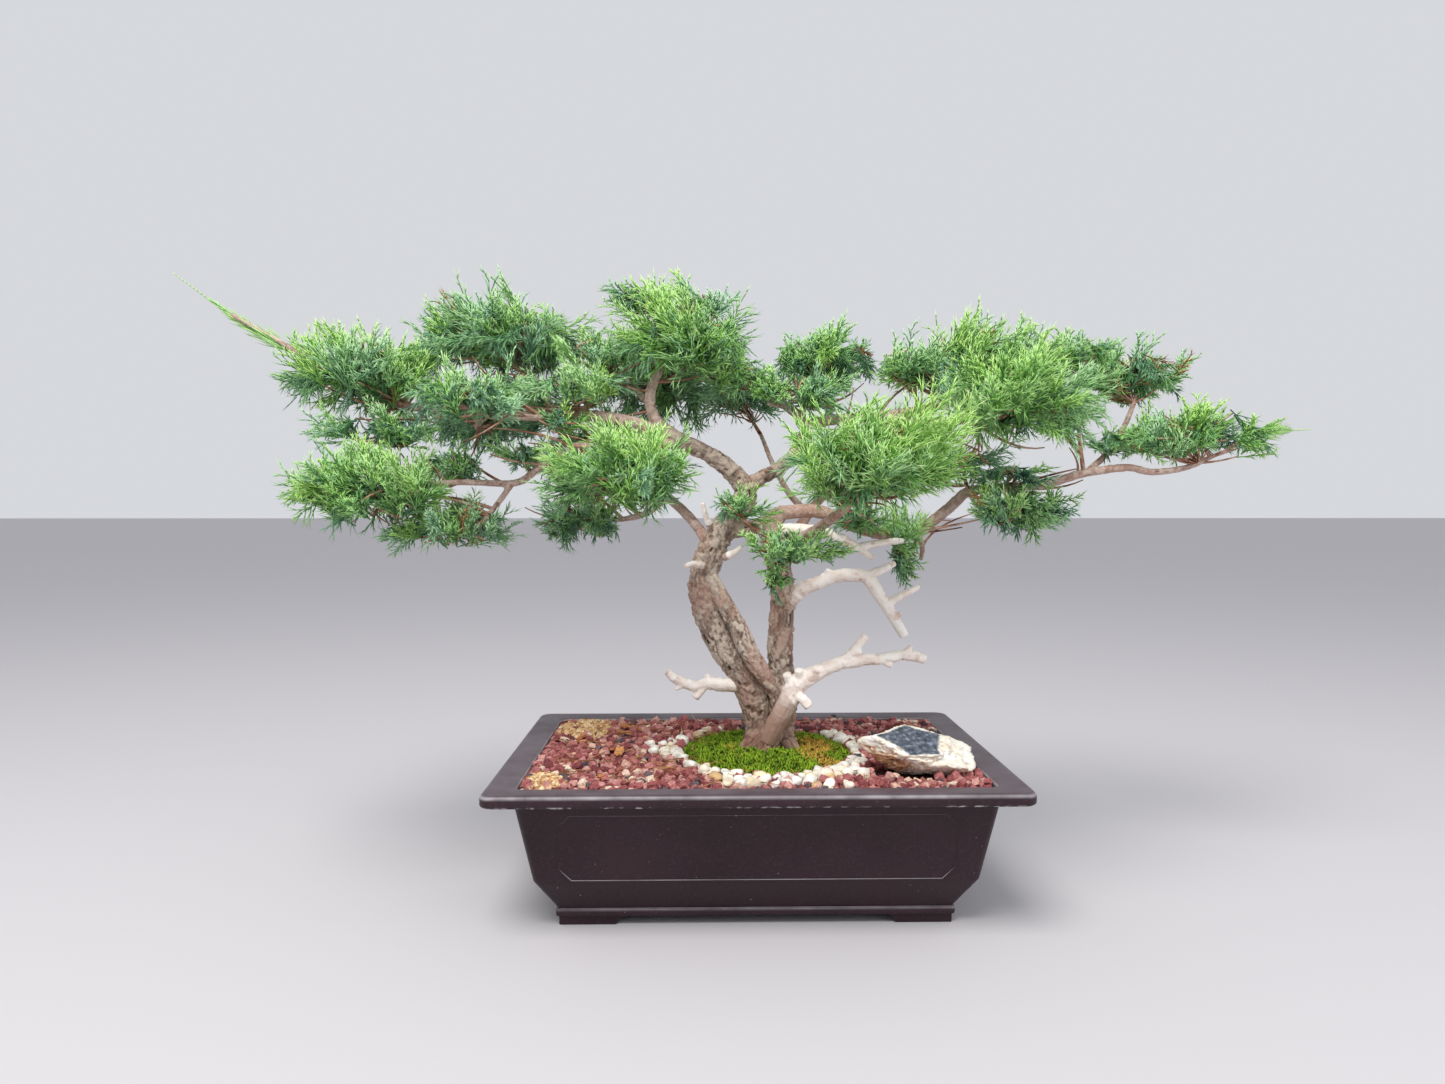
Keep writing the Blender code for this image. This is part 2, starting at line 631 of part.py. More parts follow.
def make_moss(parts, mat, root_space, stone):
    """A low dome on a straight skirt, turned and then pressed to an oval."""
    bm = bmesh.new()
    bottom = SOIL_TOP + CLEARANCE
    shoulder = GRAVEL_TOP + 0.0015
    profile = [(0.0, bottom), (1.0, bottom), (1.0, shoulder), (0.9, shoulder + MOSS_CROWN * 0.45),
               (0.66, shoulder + MOSS_CROWN * 0.8), (0.36, shoulder + MOSS_CROWN * 0.96),
               (0.0, shoulder + MOSS_CROWN)]
    verts = [bm.verts.new((r, 0, z)) for r, z in profile]
    edges = [bm.edges.new(pair) for pair in zip(verts, verts[1:])]
    bmesh.ops.spin(bm, geom=verts + edges, cent=(0, 0, 0), axis=(0, 0, 1),
                   angle=math.tau, steps=28, use_merge=True)
    bmesh.ops.remove_doubles(bm, verts=bm.verts, dist=0.00001)
    bmesh.ops.scale(bm, vec=(MOSS_HALF_X, MOSS_HALF_Y, 1), verts=bm.verts)
    bmesh.ops.translate(bm, vec=(MOSS_X, MOSS_Y, 0), verts=bm.verts)
    moss = object_from_bmesh(bm, "moss_mound", parts, mat)
    boolean(moss, root_space, "DIFFERENCE")
    cut_clear_of(moss, [stone], parts)
    return moss


def rough_ball(bm, centre, size, seed, amount, subdivisions):
    """A lumpy ball of the given full size, for stones, pebbles and foliage."""
    made = bmesh.ops.create_icosphere(bm, subdivisions=subdivisions, radius=1.0)
    for vert in made["verts"]:
        swell = noise.noise(vert.co * 1.3 + Vector((seed * 3.1, seed * 1.7, seed * 0.9)))
        vert.co *= 1.0 + amount * swell
        vert.co = Vector((vert.co.x * size[0] / 2, vert.co.y * size[1] / 2, vert.co.z * size[2] / 2))
        vert.co += Vector(centre)
    return made["verts"]


def make_pebbles(parts, mat, stone):
    """A closed border of white pebbles round the moss, each one pressed against the next."""
    border = None
    for i in range(PEBBLE_COUNT):
        angle = math.tau * i / PEBBLE_COUNT
        reach = PEBBLE_REACH + PEBBLE_SIZE * (0.15 + 0.3 * (i % 2))
        size = PEBBLE_SIZE * (1.7 + 0.12 * (i % 3))
        x = MOSS_X + (MOSS_HALF_X + reach) * math.cos(angle)
        y = MOSS_Y + (MOSS_HALF_Y + reach) * math.sin(angle)
        bm = bmesh.new()
        verts = rough_ball(bm, (0, 0, 0), (PEBBLE_SIZE, size, PEBBLE_SIZE * 0.66), i, 0.15, 1)
        along = math.atan2((MOSS_HALF_Y + reach) * math.cos(angle),
                           -(MOSS_HALF_X + reach) * math.sin(angle))
        bmesh.ops.rotate(bm, cent=(0, 0, 0), verts=verts,
                         matrix=Matrix.Rotation(along - math.pi / 2, 3, "Z"))
        lowest = min(v.co.z for v in verts)
        bmesh.ops.translate(bm, vec=(x, y, GRAVEL_TOP + CLEARANCE - lowest), verts=verts)
        pebble = object_from_bmesh(bm, "white_pebbles", parts, mat)
        if border is None:
            border = pebble
            continue
        boolean(border, pebble, "UNION")
        remove(pebble)
    border.name = "white_pebbles"
    cut_clear_of(border, [stone], parts)
    return border


def stone_place():
    """The middle of the stone's footprint, tucked into the front right of the gravel."""
    inner = inner_inset(FILL_DEPTH)
    x = POT_LENGTH / 2 - inner - STONE_LENGTH / 2 - STONE_GAP_RIGHT
    y = -(POT_WIDTH / 2 - inner) + STONE_DEPTH / 2 + STONE_GAP_FRONT
    return x, y


def make_granules(parts, mat, neighbours):
    """A low spread of tan granules in the back left corner and another at the front left."""
    inner = inner_inset(FILL_DEPTH)
    wall_x = POT_LENGTH / 2 - inner
    wall_y = POT_WIDTH / 2 - inner
    spreads = {
        "tan_granules_back": (-wall_x + 0.030, wall_y - 0.040, 0.052, 0.072, 1),
        "tan_granules_front": (-wall_x + 0.018, -wall_y + 0.026, 0.030, 0.044, 2),
    }
    for name, (x, y, length, width, seed) in spreads.items():
        bm = bmesh.new()
        verts = rough_ball(bm, (x, y, 0), (length, width, GRANULE_THICK), seed, 0.12, 2)
        lowest = min(v.co.z for v in verts)
        bmesh.ops.translate(bm, vec=(0, 0, GRAVEL_TOP + CLEARANCE - lowest), verts=verts)
        spread = object_from_bmesh(bm, name, parts, mat)
        cut_clear_of(spread, neighbours, parts)


def make_stone(parts, mat):
    """The craggy stone: a lumpy block, flat where it lies on the gravel."""
    bm = bmesh.new()
    x, y = stone_place()
    bottom = GRAVEL_TOP + CLEARANCE
    verts = rough_ball(bm, (0, 0, 0), (STONE_LENGTH, STONE_DEPTH, STONE_HEIGHT), 7, 0.34, 2)
    low = Vector([min(v.co[i] for v in verts) for i in range(3)])
    high = Vector([max(v.co[i] for v in verts) for i in range(3)])
    want = Vector((STONE_LENGTH, STONE_DEPTH, STONE_HEIGHT * 1.3))
    for vert in verts:
        for i in range(3):
            vert.co[i] = (vert.co[i] - (low[i] + high[i]) / 2) * want[i] / (high[i] - low[i])
        vert.co.z += STONE_HEIGHT * 0.35
    cut = bmesh.ops.bisect_plane(bm, geom=bm.verts[:] + bm.edges[:] + bm.faces[:], dist=0.00001,
                                 plane_co=(0, 0, 0), plane_no=(0, 0, 1), clear_inner=True)
    rim = [e for e in cut["geom_cut"] if isinstance(e, bmesh.types.BMEdge)]
    bmesh.ops.contextual_create(bm, geom=rim)
    bmesh.ops.translate(bm, vec=(x, y, bottom), verts=bm.verts)
    return object_from_bmesh(bm, "stone", parts, mat)


# ---------------------------------------------------------------- tree

def make_trunk(parts, mat):
    limbs = [LEFT_TRUNK, RIGHT_TRUNK, MIDDLE_LIMB, CROSS_LIMB, FORK_LIMB] + ROOT_FLARES
    root_tip = POT_HEIGHT / MM - SOIL_TOP / MM + (ROOT_DEPTH - 0.014) / MM
    root = [(18, 10, 6, 40), (17, 10, -8, 42), (16, 10, -root_tip, 24)]
    return union_of_limbs(limbs + [root], "trunk", parts, mat)


def root_tool(tools):
    """The space that the trunk's base takes in the soil and the moss, with its clearance."""
    root_tip = POT_HEIGHT / MM - SOIL_TOP / MM + (ROOT_DEPTH - 0.014) / MM
    root = [(18, 10, 6, 40), (17, 10, -8, 42), (16, 10, -root_tip, 24)]
    limbs = [LEFT_TRUNK[:4], RIGHT_TRUNK[:3], MIDDLE_LIMB[:3]] + ROOT_FLARES + [root]
    return union_of_limbs(limbs, "root_space", tools, grow=CLEARANCE)


def make_branches(parts, tools, family, mat, obstacles):
    """Each branch is one body, cut back to leave a clearance to the wood that it grows on."""
    made = []
    for name, limbs in family.items():
        branch = union_of_limbs(limbs, name, parts, mat)
        for tool in obstacles:
            boolean(branch, tool, "DIFFERENCE")
        keep_largest_body(branch)
        made.append(branch)
        obstacles.append(union_of_limbs(limbs, name + "_space", tools, grow=CLEARANCE))
    return made


def make_pad(name, parts, mat, seed):
    x, y, rise, hx, hy, hz = PADS[name]
    centre = place((x, y, rise))
    bm = bmesh.new()
    size = [2 * h * MM * TREE_SCALE for h in (hx, hy, hz)]
    rough_ball(bm, centre, size, seed, 0.22, 2)
    pad = object_from_bmesh(bm, name, parts, mat)
    if name in LEADERS:
        start = (x + (hx * 0.5 if x > 0 else -hx * 0.5), y, rise, 26)
        tip = wood_tube([start, *LEADERS[name]], parts)
        boolean(pad, tip, "UNION")
        remove(tip)
        pad.data.materials.clear()
        pad.data.materials.append(mat)
    return pad


def make_foliage(parts, mats, obstacles):
    made = []
    for index, name in enumerate(PADS):
        pad = make_pad(name, parts, mats[index % len(mats)], index + 1)
        for tool in obstacles:
            boolean(pad, tool, "DIFFERENCE")
        cut_clear_of(pad, made, parts)
        made.append(pad)
    return made


def main():
    clear_scene()
    parts = collection("juniper_bonsai_in_pot")
    tools = collection("cutters", hidden=True)
    plastic = material("pot_plastic", (0.045, 0.030, 0.033), 0.45)
    root_space = root_tool(tools)
    make_pot(parts, tools, plastic)
    make_screens(parts, material("screen_plastic", (0.02, 0.02, 0.02), 0.6))
    make_soil(parts, tools, material("soil", (0.06, 0.04, 0.028), 0.95), root_space)
    make_gravel(parts, tools, material("lava", (0.23, 0.055, 0.05), 0.9))
    stone = make_stone(parts, material("stone", (0.70, 0.60, 0.45), 0.75))
    moss = make_moss(parts, material("moss", (0.10, 0.16, 0.02), 0.95), root_space, stone)
    pebbles = make_pebbles(parts, material("pebble", (0.82, 0.78, 0.64), 0.6), stone)
    make_granules(parts, material("granule", (0.52, 0.33, 0.15), 0.9), [moss, pebbles, stone])
    make_trunk(parts, material("bark", (0.22, 0.15, 0.10), 0.9))
    obstacles = [union_of_limbs([LEFT_TRUNK, RIGHT_TRUNK, MIDDLE_LIMB, CROSS_LIMB, FORK_LIMB],
                                "trunk_space", tools, grow=CLEARANCE)]
    bleached = material("bleached_wood", (0.75, 0.60, 0.45), 0.8)
    make_branches(parts, tools, DEAD_BRANCHES, bleached, obstacles)
    make_branches(parts, tools, LIVE_BRANCHES, material("branch_bark", (0.26, 0.15, 0.10), 0.85),
                  obstacles)
    greens = [material("foliage_bright", (0.12, 0.30, 0.05), 0.6),
              material("foliage_deep", (0.05, 0.20, 0.07), 0.6)]
    make_foliage(parts, greens, obstacles)
    remove(*list(tools.objects))


main()
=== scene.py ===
"""The looks of a juniper bonsai in a plastic pot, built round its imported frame. Metres, +Z up."""

import math

import bmesh
import bpy
import numpy as np
from mathutils import Matrix, Vector, noise
from mathutils.kdtree import KDTree


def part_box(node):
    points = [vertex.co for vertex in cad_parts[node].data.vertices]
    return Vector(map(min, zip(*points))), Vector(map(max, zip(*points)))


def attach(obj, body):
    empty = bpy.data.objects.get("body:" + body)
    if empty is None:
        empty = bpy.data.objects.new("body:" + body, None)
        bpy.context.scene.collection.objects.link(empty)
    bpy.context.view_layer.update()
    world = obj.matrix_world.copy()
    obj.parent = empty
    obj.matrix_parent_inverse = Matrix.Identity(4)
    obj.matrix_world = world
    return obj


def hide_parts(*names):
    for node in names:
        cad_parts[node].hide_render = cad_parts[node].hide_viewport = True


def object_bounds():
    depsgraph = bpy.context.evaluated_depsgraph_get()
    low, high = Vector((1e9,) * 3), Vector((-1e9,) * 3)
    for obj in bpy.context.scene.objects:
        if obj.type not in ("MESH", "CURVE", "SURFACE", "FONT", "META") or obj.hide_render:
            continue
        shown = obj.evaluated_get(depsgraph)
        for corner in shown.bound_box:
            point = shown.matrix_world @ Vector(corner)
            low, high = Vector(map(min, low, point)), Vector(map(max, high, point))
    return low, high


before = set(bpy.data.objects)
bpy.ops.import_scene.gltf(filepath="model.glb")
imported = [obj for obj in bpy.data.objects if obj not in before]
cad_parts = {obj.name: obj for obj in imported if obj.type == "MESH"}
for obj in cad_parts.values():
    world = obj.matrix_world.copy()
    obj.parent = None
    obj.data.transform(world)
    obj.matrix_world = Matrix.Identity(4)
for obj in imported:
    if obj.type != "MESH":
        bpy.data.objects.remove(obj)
cad_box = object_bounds()
# Without a seed of its own, the vector noise differs from run to run.
noise.seed_set(5)

MM = 0.001
UP = np.array((0.0, 0.0, 1.0))
LEAF_MAP = "OFBake"



def ends(box):
    """A box's low and high corners."""
    low, high = (np.array(corner) for corner in box)
    return low, high


def centre_and_half(box):
    low, high = ends(box)
    return (low + high) / 2, (high - low) / 2


# ---- places read from the frame ----
POT_HIGH = ends(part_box("pot"))[1]
GRAVEL_LOW, GRAVEL_HIGH = ends(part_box("lava_gravel"))
MOSS_LOW, MOSS_HIGH = ends(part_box("moss_mound"))
MOSS_CENTRE, MOSS_HALF = centre_and_half(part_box("moss_mound"))
STONE_CENTRE, STONE_HALF = centre_and_half(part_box("stone"))
RIM_Z = POT_HIGH[2]
GRAVEL_TOP = GRAVEL_HIGH[2]

# ---- the pot, metres ----
RIM_CORNER = 0.010
RIM_CORNER_SEGMENTS = 10
FOOT_HEIGHT = 0.0075
FOOT_INSET = 0.0525
FOOT_WIDTH = 0.013
FOOT_REACH = 0.052
FOOT_EASING = 0.0009
DRAIN_HOLE_RADIUS = 0.010
DRAIN_HOLE_SPACING = 0.150
PANEL_END_MARGIN = 0.0545
PANEL_TOP = 0.022
PANEL_BOTTOM = 0.0755
PANEL_CLIP = 0.010
PANEL_LINE_RADIUS = 0.0011
# The wall's outside, from its foot up, as (depth below the rim, inset from the rim's edge).
WALL_LINE = [(0.1035, 0.0515), (0.0940, 0.0457), (0.0840, 0.0392), (0.0765, 0.0345),
             (0.0128, 0.0217)]

# ---- loose stones, moss and litter, metres ----
LAVA_PITCH = 0.0060
LAVA_MARGIN = 0.0024
LAVA_SIZES = (0.0050, 0.0086)
LAVA_ON_TOP = 560
LAVA_ON_TOP_LIFT = 0.0036
PEBBLE_TRIES = 9000
PEBBLE_SPACING = 0.0084
PEBBLE_SIZES = (0.0078, 0.0122)
GRIT_SIZES = (0.0022, 0.0050)
GRIT_COUNTS = {"tan_granules_back": 560, "tan_granules_front": 260}
MOSS_TUFTS = 6400
MOSS_TUFT_LENGTHS = (0.0022, 0.0046)
DEAD_NEEDLES = 230
DEAD_NEEDLE_LENGTHS = (0.010, 0.030)
BARK_CHIPS = 9
BARK_CHIP_SIZE = (0.018, 0.0075, 0.0022)
LITTER_MARGIN = 0.012

# ---- the tree's limbs, as (x, y, height above the rim, thickness), in millimetres ----
TRUNK_LIMBS = [
    [(18, 10, -14, 46), (18, 10, 1, 42), (15, 9, 10, 36), (6, 8, 40, 30), (-10, 8, 71, 28),
     (-28, 9, 98, 27), (-39, 10, 125, 26), (-42, 10, 147, 25), (-34, 11, 174, 24),
     (-23, 12, 193, 23), (-10, 12, 211, 22), (-4, 12, 227, 19), (-17, 11, 244, 16),
     (-34, 9, 257, 14.5), (-52, 7, 266, 14), (-72, 5, 275, 13)],
    [(20, 8, 4, 34), (27, 7, 22, 26), (30, 6, 49, 23), (27, 7, 72, 22), (27, 8, 100, 22),
     (29, 9, 127, 21.5), (28, 10, 145, 21), (24, 12, 165, 20), (19, 14, 183, 18),
     (22, 16, 196, 15), (28, 18, 210, 12)],
    [(28, -8, 30, 17), (24, -10, 49, 16), (10, -11, 68, 15.5), (-2, -10, 87, 15.5),
     (-13, -7, 110, 15), (-23, -3, 128, 14.5), (-35, 4, 149, 13)],
    [(13, -6, -8, 25), (15, -9, 6, 22), (19, -12, 17, 17), (22, -14, 26, 13)],
    [(-20, 12, 190, 14), (4, 14, 194, 13), (16, 16, 200, 12), (26, 18, 208, 11)],
    [(-4, 12, 228, 14), (8, 13, 237, 13), (23, 14, 245, 12), (38, 14, 258, 11), (48, 15, 276, 10),
     (50, 16, 285, 9.5), (42, 18, 295, 9), (31, 20, 303, 8), (16, 22, 306, 6)],
    [(12, 4, 14, 22), (0, -3, 4, 15), (-10, -10, -6, 9)],
    [(22, 4, 16, 22), (33, -5, 4, 15), (42, -12, -6, 9)],
    [(20, 14, 14, 22), (29, 26, 3, 14), (36, 36, -6, 8)],
    [(12, 14, 14, 22), (2, 25, 3, 14), (-6, 34, -6, 8)],
]

LIVE_BRANCHES = {
    "branch_apex": [
        [(-62, 6, 270, 12), (-84, 4, 290, 10), (-88, 2, 310, 9), (-80, 0, 332, 8),
         (-72, -2, 356, 6.5), (-70, -2, 384, 5)],
        [(-86, 4, 300, 7), (-98, 20, 312, 6), (-108, 44, 322, 5), (-112, 62, 330, 4)],
        [(-78, 0, 336, 6), (-52, 2, 350, 5), (-34, 4, 362, 4)],
    ],
    "branch_left_upper": [
        [(-62, 6, 271, 12), (-104, 4, 286, 11), (-140, 4, 292, 10), (-176, 6, 294, 9.5),
         (-208, 8, 295, 9), (-236, 8, 294, 8.5), (-276, 6, 297, 7.5), (-319, 3, 304, 6.5),
         (-359, 0, 323, 5.5), (-402, -4, 352, 4.5), (-446, -8, 377, 3.5)],
        [(-176, 8, 294, 7), (-182, 18, 314, 6), (-200, 30, 334, 5), (-222, 40, 352, 4)],
        [(-232, 8, 293, 6), (-244, 34, 288, 5.5), (-252, 66, 286, 5), (-254, 98, 290, 4)],
        [(-158, 4, 292, 6.5), (-180, -22, 288, 6), (-208, -48, 288, 5), (-246, -70, 296, 4)],
    ],
    "branch_left_lower": [
        [(-62, 5, 268, 11), (-100, -4, 268, 9), (-134, -8, 267, 7.5), (-160, -10, 262, 6.8),
         (-183, -14, 246, 6.4), (-196, -18, 235, 6.2), (-211, -22, 232, 5.8),
         (-246, -34, 233, 5.2), (-291, -50, 229, 4.6), (-320, -58, 226, 3.6)],
        [(-206, -22, 230, 5.4), (-217, -22, 215, 4.8), (-232, -20, 198, 4.4),
         (-248, -20, 195, 3.6)],
        [(-120, -8, 267, 7), (-122, -34, 256, 6), (-114, -54, 240, 5), (-108, -66, 228, 4)],
    ],
    "branch_right_long": [
        [(26, 18, 207, 13), (62, 20, 208, 12), (92, 20, 196, 11.5), (120, 18, 188, 11),
         (148, 14, 190, 10.5), (161, 12, 198, 10), (180, 10, 214, 9.5), (194, 8, 226, 9),
         (220, 6, 229, 8.5), (248, 4, 231, 8), (268, 4, 234, 8), (295, 3, 242, 7.5),
         (333, 2, 247, 6.5), (355, 1, 243, 6), (385, 0, 247, 5), (410, -2, 258, 4),
         (428, -3, 264, 3.4)],
        [(196, 8, 224, 6), (207, 0, 210, 5.5), (222, -14, 206, 5), (234, -26, 206, 4)],
        [(298, 4, 243, 6), (322, 16, 262, 5.5), (344, 34, 288, 5), (360, 46, 318, 4)],
        [(150, 14, 188, 6), (156, 22, 176, 5), (156, 28, 164, 4)],
    ],
    "branch_right_upper": [
        [(46, 16, 284, 10), (74, 20, 290, 9.5), (104, 18, 292, 9), (138, 14, 296, 8.5),
         (170, 12, 303, 7.5), (200, 10, 314, 6), (226, 10, 326, 4.5)],
        [(116, 17, 292, 7), (142, -12, 286, 6.5), (172, -40, 284, 6), (204, -62, 290, 4.5)],
        [(70, 21, 292, 7), (74, 34, 308, 6), (75, 46, 330, 4.5)],
    ],
    "branch_right_front": [
        [(25, 10, 170, 12), (38, -18, 182, 10), (54, -44, 194, 9), (72, -68, 210, 7.5),
         (88, -86, 228, 5.5)],
        [(36, -14, 182, 7), (30, -34, 178, 6), (28, -52, 172, 4.5)],
    ],
    "branch_back_left": [
        [(-34, 13, 174, 11), (-44, 38, 190, 9.5), (-60, 62, 208, 9), (-84, 90, 228, 8),
         (-110, 116, 246, 6.5), (-134, 138, 262, 4.5)],
        [(-76, 82, 222, 7), (-96, 84, 206, 6), (-124, 88, 200, 5), (-150, 92, 202, 4)],
    ],
    "branch_back_right": [
        [(25, 14, 172, 11), (46, 44, 192, 9.5), (62, 68, 212, 9), (84, 96, 232, 8),
         (108, 120, 250, 6.5), (132, 138, 264, 4.5)],
        [(56, 60, 206, 7), (40, 84, 226, 6), (26, 110, 256, 5), (16, 128, 284, 4)],
    ],
}

DEAD_BRANCHES = {
    "jin_lower_right": [
        [(15, -13, 8, 15), (21, -17, 24, 17), (31, -20, 43, 17.5), (40, -20, 60, 18.5),
         (53, -22, 68, 14.5), (62, -22, 72, 12.5), (77, -22, 78, 11.5), (93, -21, 80, 11),
         (112, -20, 81, 9.5), (130, -19, 84, 9), (142, -18, 83, 9.5), (151, -17, 80, 8)],
        [(76, -22, 78, 9), (84, -23, 84, 8.5), (92, -24, 94, 7.5), (98, -25, 102, 7)],
        [(86, -23, 86, 6), (94, -26, 88, 4.5)],
        [(132, -19, 84, 6), (138, -20, 92, 4.5)],
        [(112, -20, 80, 6), (121, -22, 75, 4.5)],
        [(36, -22, 54, 10), (44, -27, 47, 9), (49, -29, 41, 8)],
        [(34, -20, 60, 9), (30, -23, 69, 7.5)],
        [(42, -22, 62, 9), (40, -28, 73, 7)],
        [(50, -22, 67, 8), (56, -29, 74, 6.5)],
    ],
    "jin_upper_right": [
        [(28, 9, 120, 15), (44, 6, 138, 13), (57, 4, 144, 12), (75, 2, 151, 11.5),
         (93, 0, 152, 11), (104, -1, 149, 12), (113, -2, 135, 11), (119, -3, 126, 10),
         (128, -4, 111, 8.5), (135, -5, 99, 7.5)],
        [(100, 0, 150, 9), (112, 2, 155, 7.5), (121, 3, 159, 6.5), (128, 4, 163, 5.5)],
        [(120, -3, 127, 8), (130, -2, 133, 6.5), (139, -1, 137, 6), (149, 0, 142, 4.5)],
        [(126, -4, 115, 6), (132, -7, 119, 4.5)],
        [(66, 3, 148, 7), (69, 0, 157, 5)],
    ],
    "jin_second_right": [
        [(20, 14, 190, 13), (46, 8, 192, 11), (62, 4, 190, 10), (77, 2, 185, 9.5),
         (93, 0, 177, 8.5), (108, -2, 167, 5)],
        [(96, 0, 177, 7), (104, 0, 179, 6.5), (128, 2, 182, 6), (144, 3, 182, 3)],
    ],
    "jin_lower_left": [
        [(0, 8, 54, 15), (-24, 2, 55, 12), (-38, 0, 57, 11), (-47, -1, 54, 9.5),
         (-60, -2, 58, 9), (-68, -3, 63, 8), (-74, -3, 68, 6.5)],
        [(-40, 0, 56, 8.5), (-45, -2, 49, 7.5), (-49, -3, 44, 6.5)],
        [(-36, 0, 58, 7), (-39, -1, 65, 4)],
        [(-58, -2, 57, 6), (-66, -4, 52, 3)],
    ],
}

# Short dead stubs high on the trunk.
DEAD_STUBS = [
    [(-36, 2, 196, 6), (-40, -3, 206, 5), (-42, -6, 216, 3.5)],
    [(-40, -2, 160, 7), (-51, -7, 163, 5.5), (-58, -10, 160, 4)],
    [(-24, -4, 168, 7), (-16, -9, 172, 6), (-8, -12, 178, 4)],
]

# The shares of a limb's length between which brown wood turns to bleached wood.
NO_FADE = (0.0, 0.01)
SHORT_FADE = (0.02, 0.13)
LONG_FADE = (0.10, 0.36)

# ---- foliage ----
# Each pad's tone, from blue-green (0) to yellow-green (1): partly the foliage's own colour, partly
# painted shade, as the pads at the back and under the apex are set bluer.
PAD_TONES = {
    "foliage_far_left": 0.62, "foliage_left_low": 0.60, "foliage_left_top": 0.45,
    "foliage_left_back": 0.25, "foliage_left_front": 0.35, "foliage_low_left": 0.35,
    "foliage_centre_left": 0.60, "foliage_apex": 0.72, "foliage_apex_back": 0.35,
    "foliage_under_apex": 0.25, "foliage_centre_right_top": 0.45, "foliage_right_centre": 0.80,
    "foliage_right_top": 0.60, "foliage_right_front": 0.70, "foliage_right_far_upper": 0.55,
    "foliage_right_tip": 0.70, "foliage_right_low": 0.45, "foliage_centre_low": 0.45,
    "foliage_hanging": 0.45, "foliage_back_left": 0.35, "foliage_back_left_low": 0.30,
    "foliage_back_right": 0.35, "foliage_back_centre": 0.35,
}
# Pads whose foliage fills a little less or more than their node: middle and half sizes,
# in millimetres, with the height above the rim.
PAD_SHAPES = {
    "foliage_far_left": ((-342, 0, 324), (72, 54, 42)),
    "foliage_left_low": ((-320, -60, 224), (66, 50, 38)),
    "foliage_left_front": ((-238, -68, 298), (48, 40, 24)),
    "foliage_low_left": ((-256, -16, 195), (54, 46, 23)),
    "foliage_centre_left": ((-110, -100, 234), (58, 62, 42)),
    "foliage_apex": ((-64, -6, 355), (60, 58, 50)),
    "foliage_back_centre": ((-4, 118, 322), (50, 46, 28)),
    "foliage_right_top": ((206, 14, 334), (82, 52, 40)),
    "foliage_right_tip": ((396, 0, 275), (72, 42, 30)),
    "foliage_right_low": ((231, -34, 211), (40, 40, 30)),
    "foliage_centre_low": ((26, -60, 178), (44, 34, 17)),
    "foliage_hanging": ((140, 12, 176), (16, 22, 38)),
}
# The points of the long leading shoots that two pads have.
LEADERS = {
    "foliage_far_left": [(-398, -2, 346), (-440, -5, 372), (-470, -7, 394), (-494, -8, 412)],
    "foliage_right_tip": [(440, -1, 276), (464, -1, 279), (480, 0, 280), (495, 0, 281)],
}
# Thin foliage along the branches between the pads: middle, half sizes and number of tufts.
BETWEEN = {
    "sprays_between_left": [
        ((-318, -18, 276), (56, 34, 18), 26), ((-258, -8, 246), (40, 30, 16), 14),
        ((-160, -4, 312), (52, 34, 22), 22), ((-142, 18, 346), (42, 34, 22), 15),
        ((-16, 10, 326), (34, 34, 24), 16), ((-14, -30, 210), (38, 30, 10), 8),
        ((-100, -4, 390), (30, 26, 13), 8), ((-40, -2, 388), (26, 26, 12), 6),
        ((-200, -14, 256), (26, 26, 12), 7), ((-168, -20, 286), (28, 26, 12), 8),
    ],
    "sprays_between_right": [
        ((48, 8, 312), (46, 34, 20), 20), ((142, 8, 338), (34, 34, 20), 9),
        ((184, -12, 246), (48, 34, 18), 21), ((100, -6, 200), (32, 26, 14), 8),
        ((292, 4, 344), (34, 34, 22), 14), ((326, 6, 268), (36, 32, 14), 8),
        ((286, -6, 286), (36, 30, 18), 10), ((230, -10, 239), (36, 28, 12), 9),
        ((20, -56, 154), (14, 18, 20), 5),
    ],
}
BETWEEN_TONE = 0.45
TUFTS_PER_AREA = 5300
FEWEST_TUFTS = 8
SPRAYS_PER_TUFT = 6
SPRAYS_PER_THIN_TUFT = 5
SIDE_THREADS = 8
SPRAY_STEM_RADII = (0.00070, 0.00058)
SIDE_THREAD_RADIUS = 0.00054
FORK_RADIUS = 0.00056
TUFT_LENGTHS = (0.034, 0.060)
SHORTEST_TUFT = 0.024
ROOT_DEPTH = 0.76
INSIDE_CAD_BOX = 0.003
FEWEST_HUBS = 10
HUB_REACH = 0.85
LEADER_RINGS = 7
LEADER_SHOOTS = 26
BARE_TWIGS = 120
BARE_TWIG_LENGTHS = (0.025, 0.080)
# How far inside the object's own box a bare twig's tip has to end.
BARE_TWIG_MARGIN_LOW = (0.11, 0.02, 0.30)
BARE_TWIG_MARGIN_HIGH = (0.11, 0.02, 0.11)

# ---- camera and lights ----
CAMERA_PLACE = (-0.0418, -0.913, RIM_Z + 0.214)
CAMERA_TILT = -2.04
CAMERA_TURN = -1.07
CAMERA_LENS = 25.93
CAMERA_SENSOR = 36.0
FLOOR_SIZE = 25.0
FLOOR_COLOR = (0.56, 0.54, 0.56, 1.0)
WORLD_COLOR = (0.86, 0.88, 0.92, 1.0)
WORLD_STRENGTH = 0.78


# ---------------------------------------------------------------- helpers

def place(point):
    """A place in metres, from one in millimetres with its height above the rim."""
    return np.array((point[0] * MM, point[1] * MM, RIM_Z + point[2] * MM))


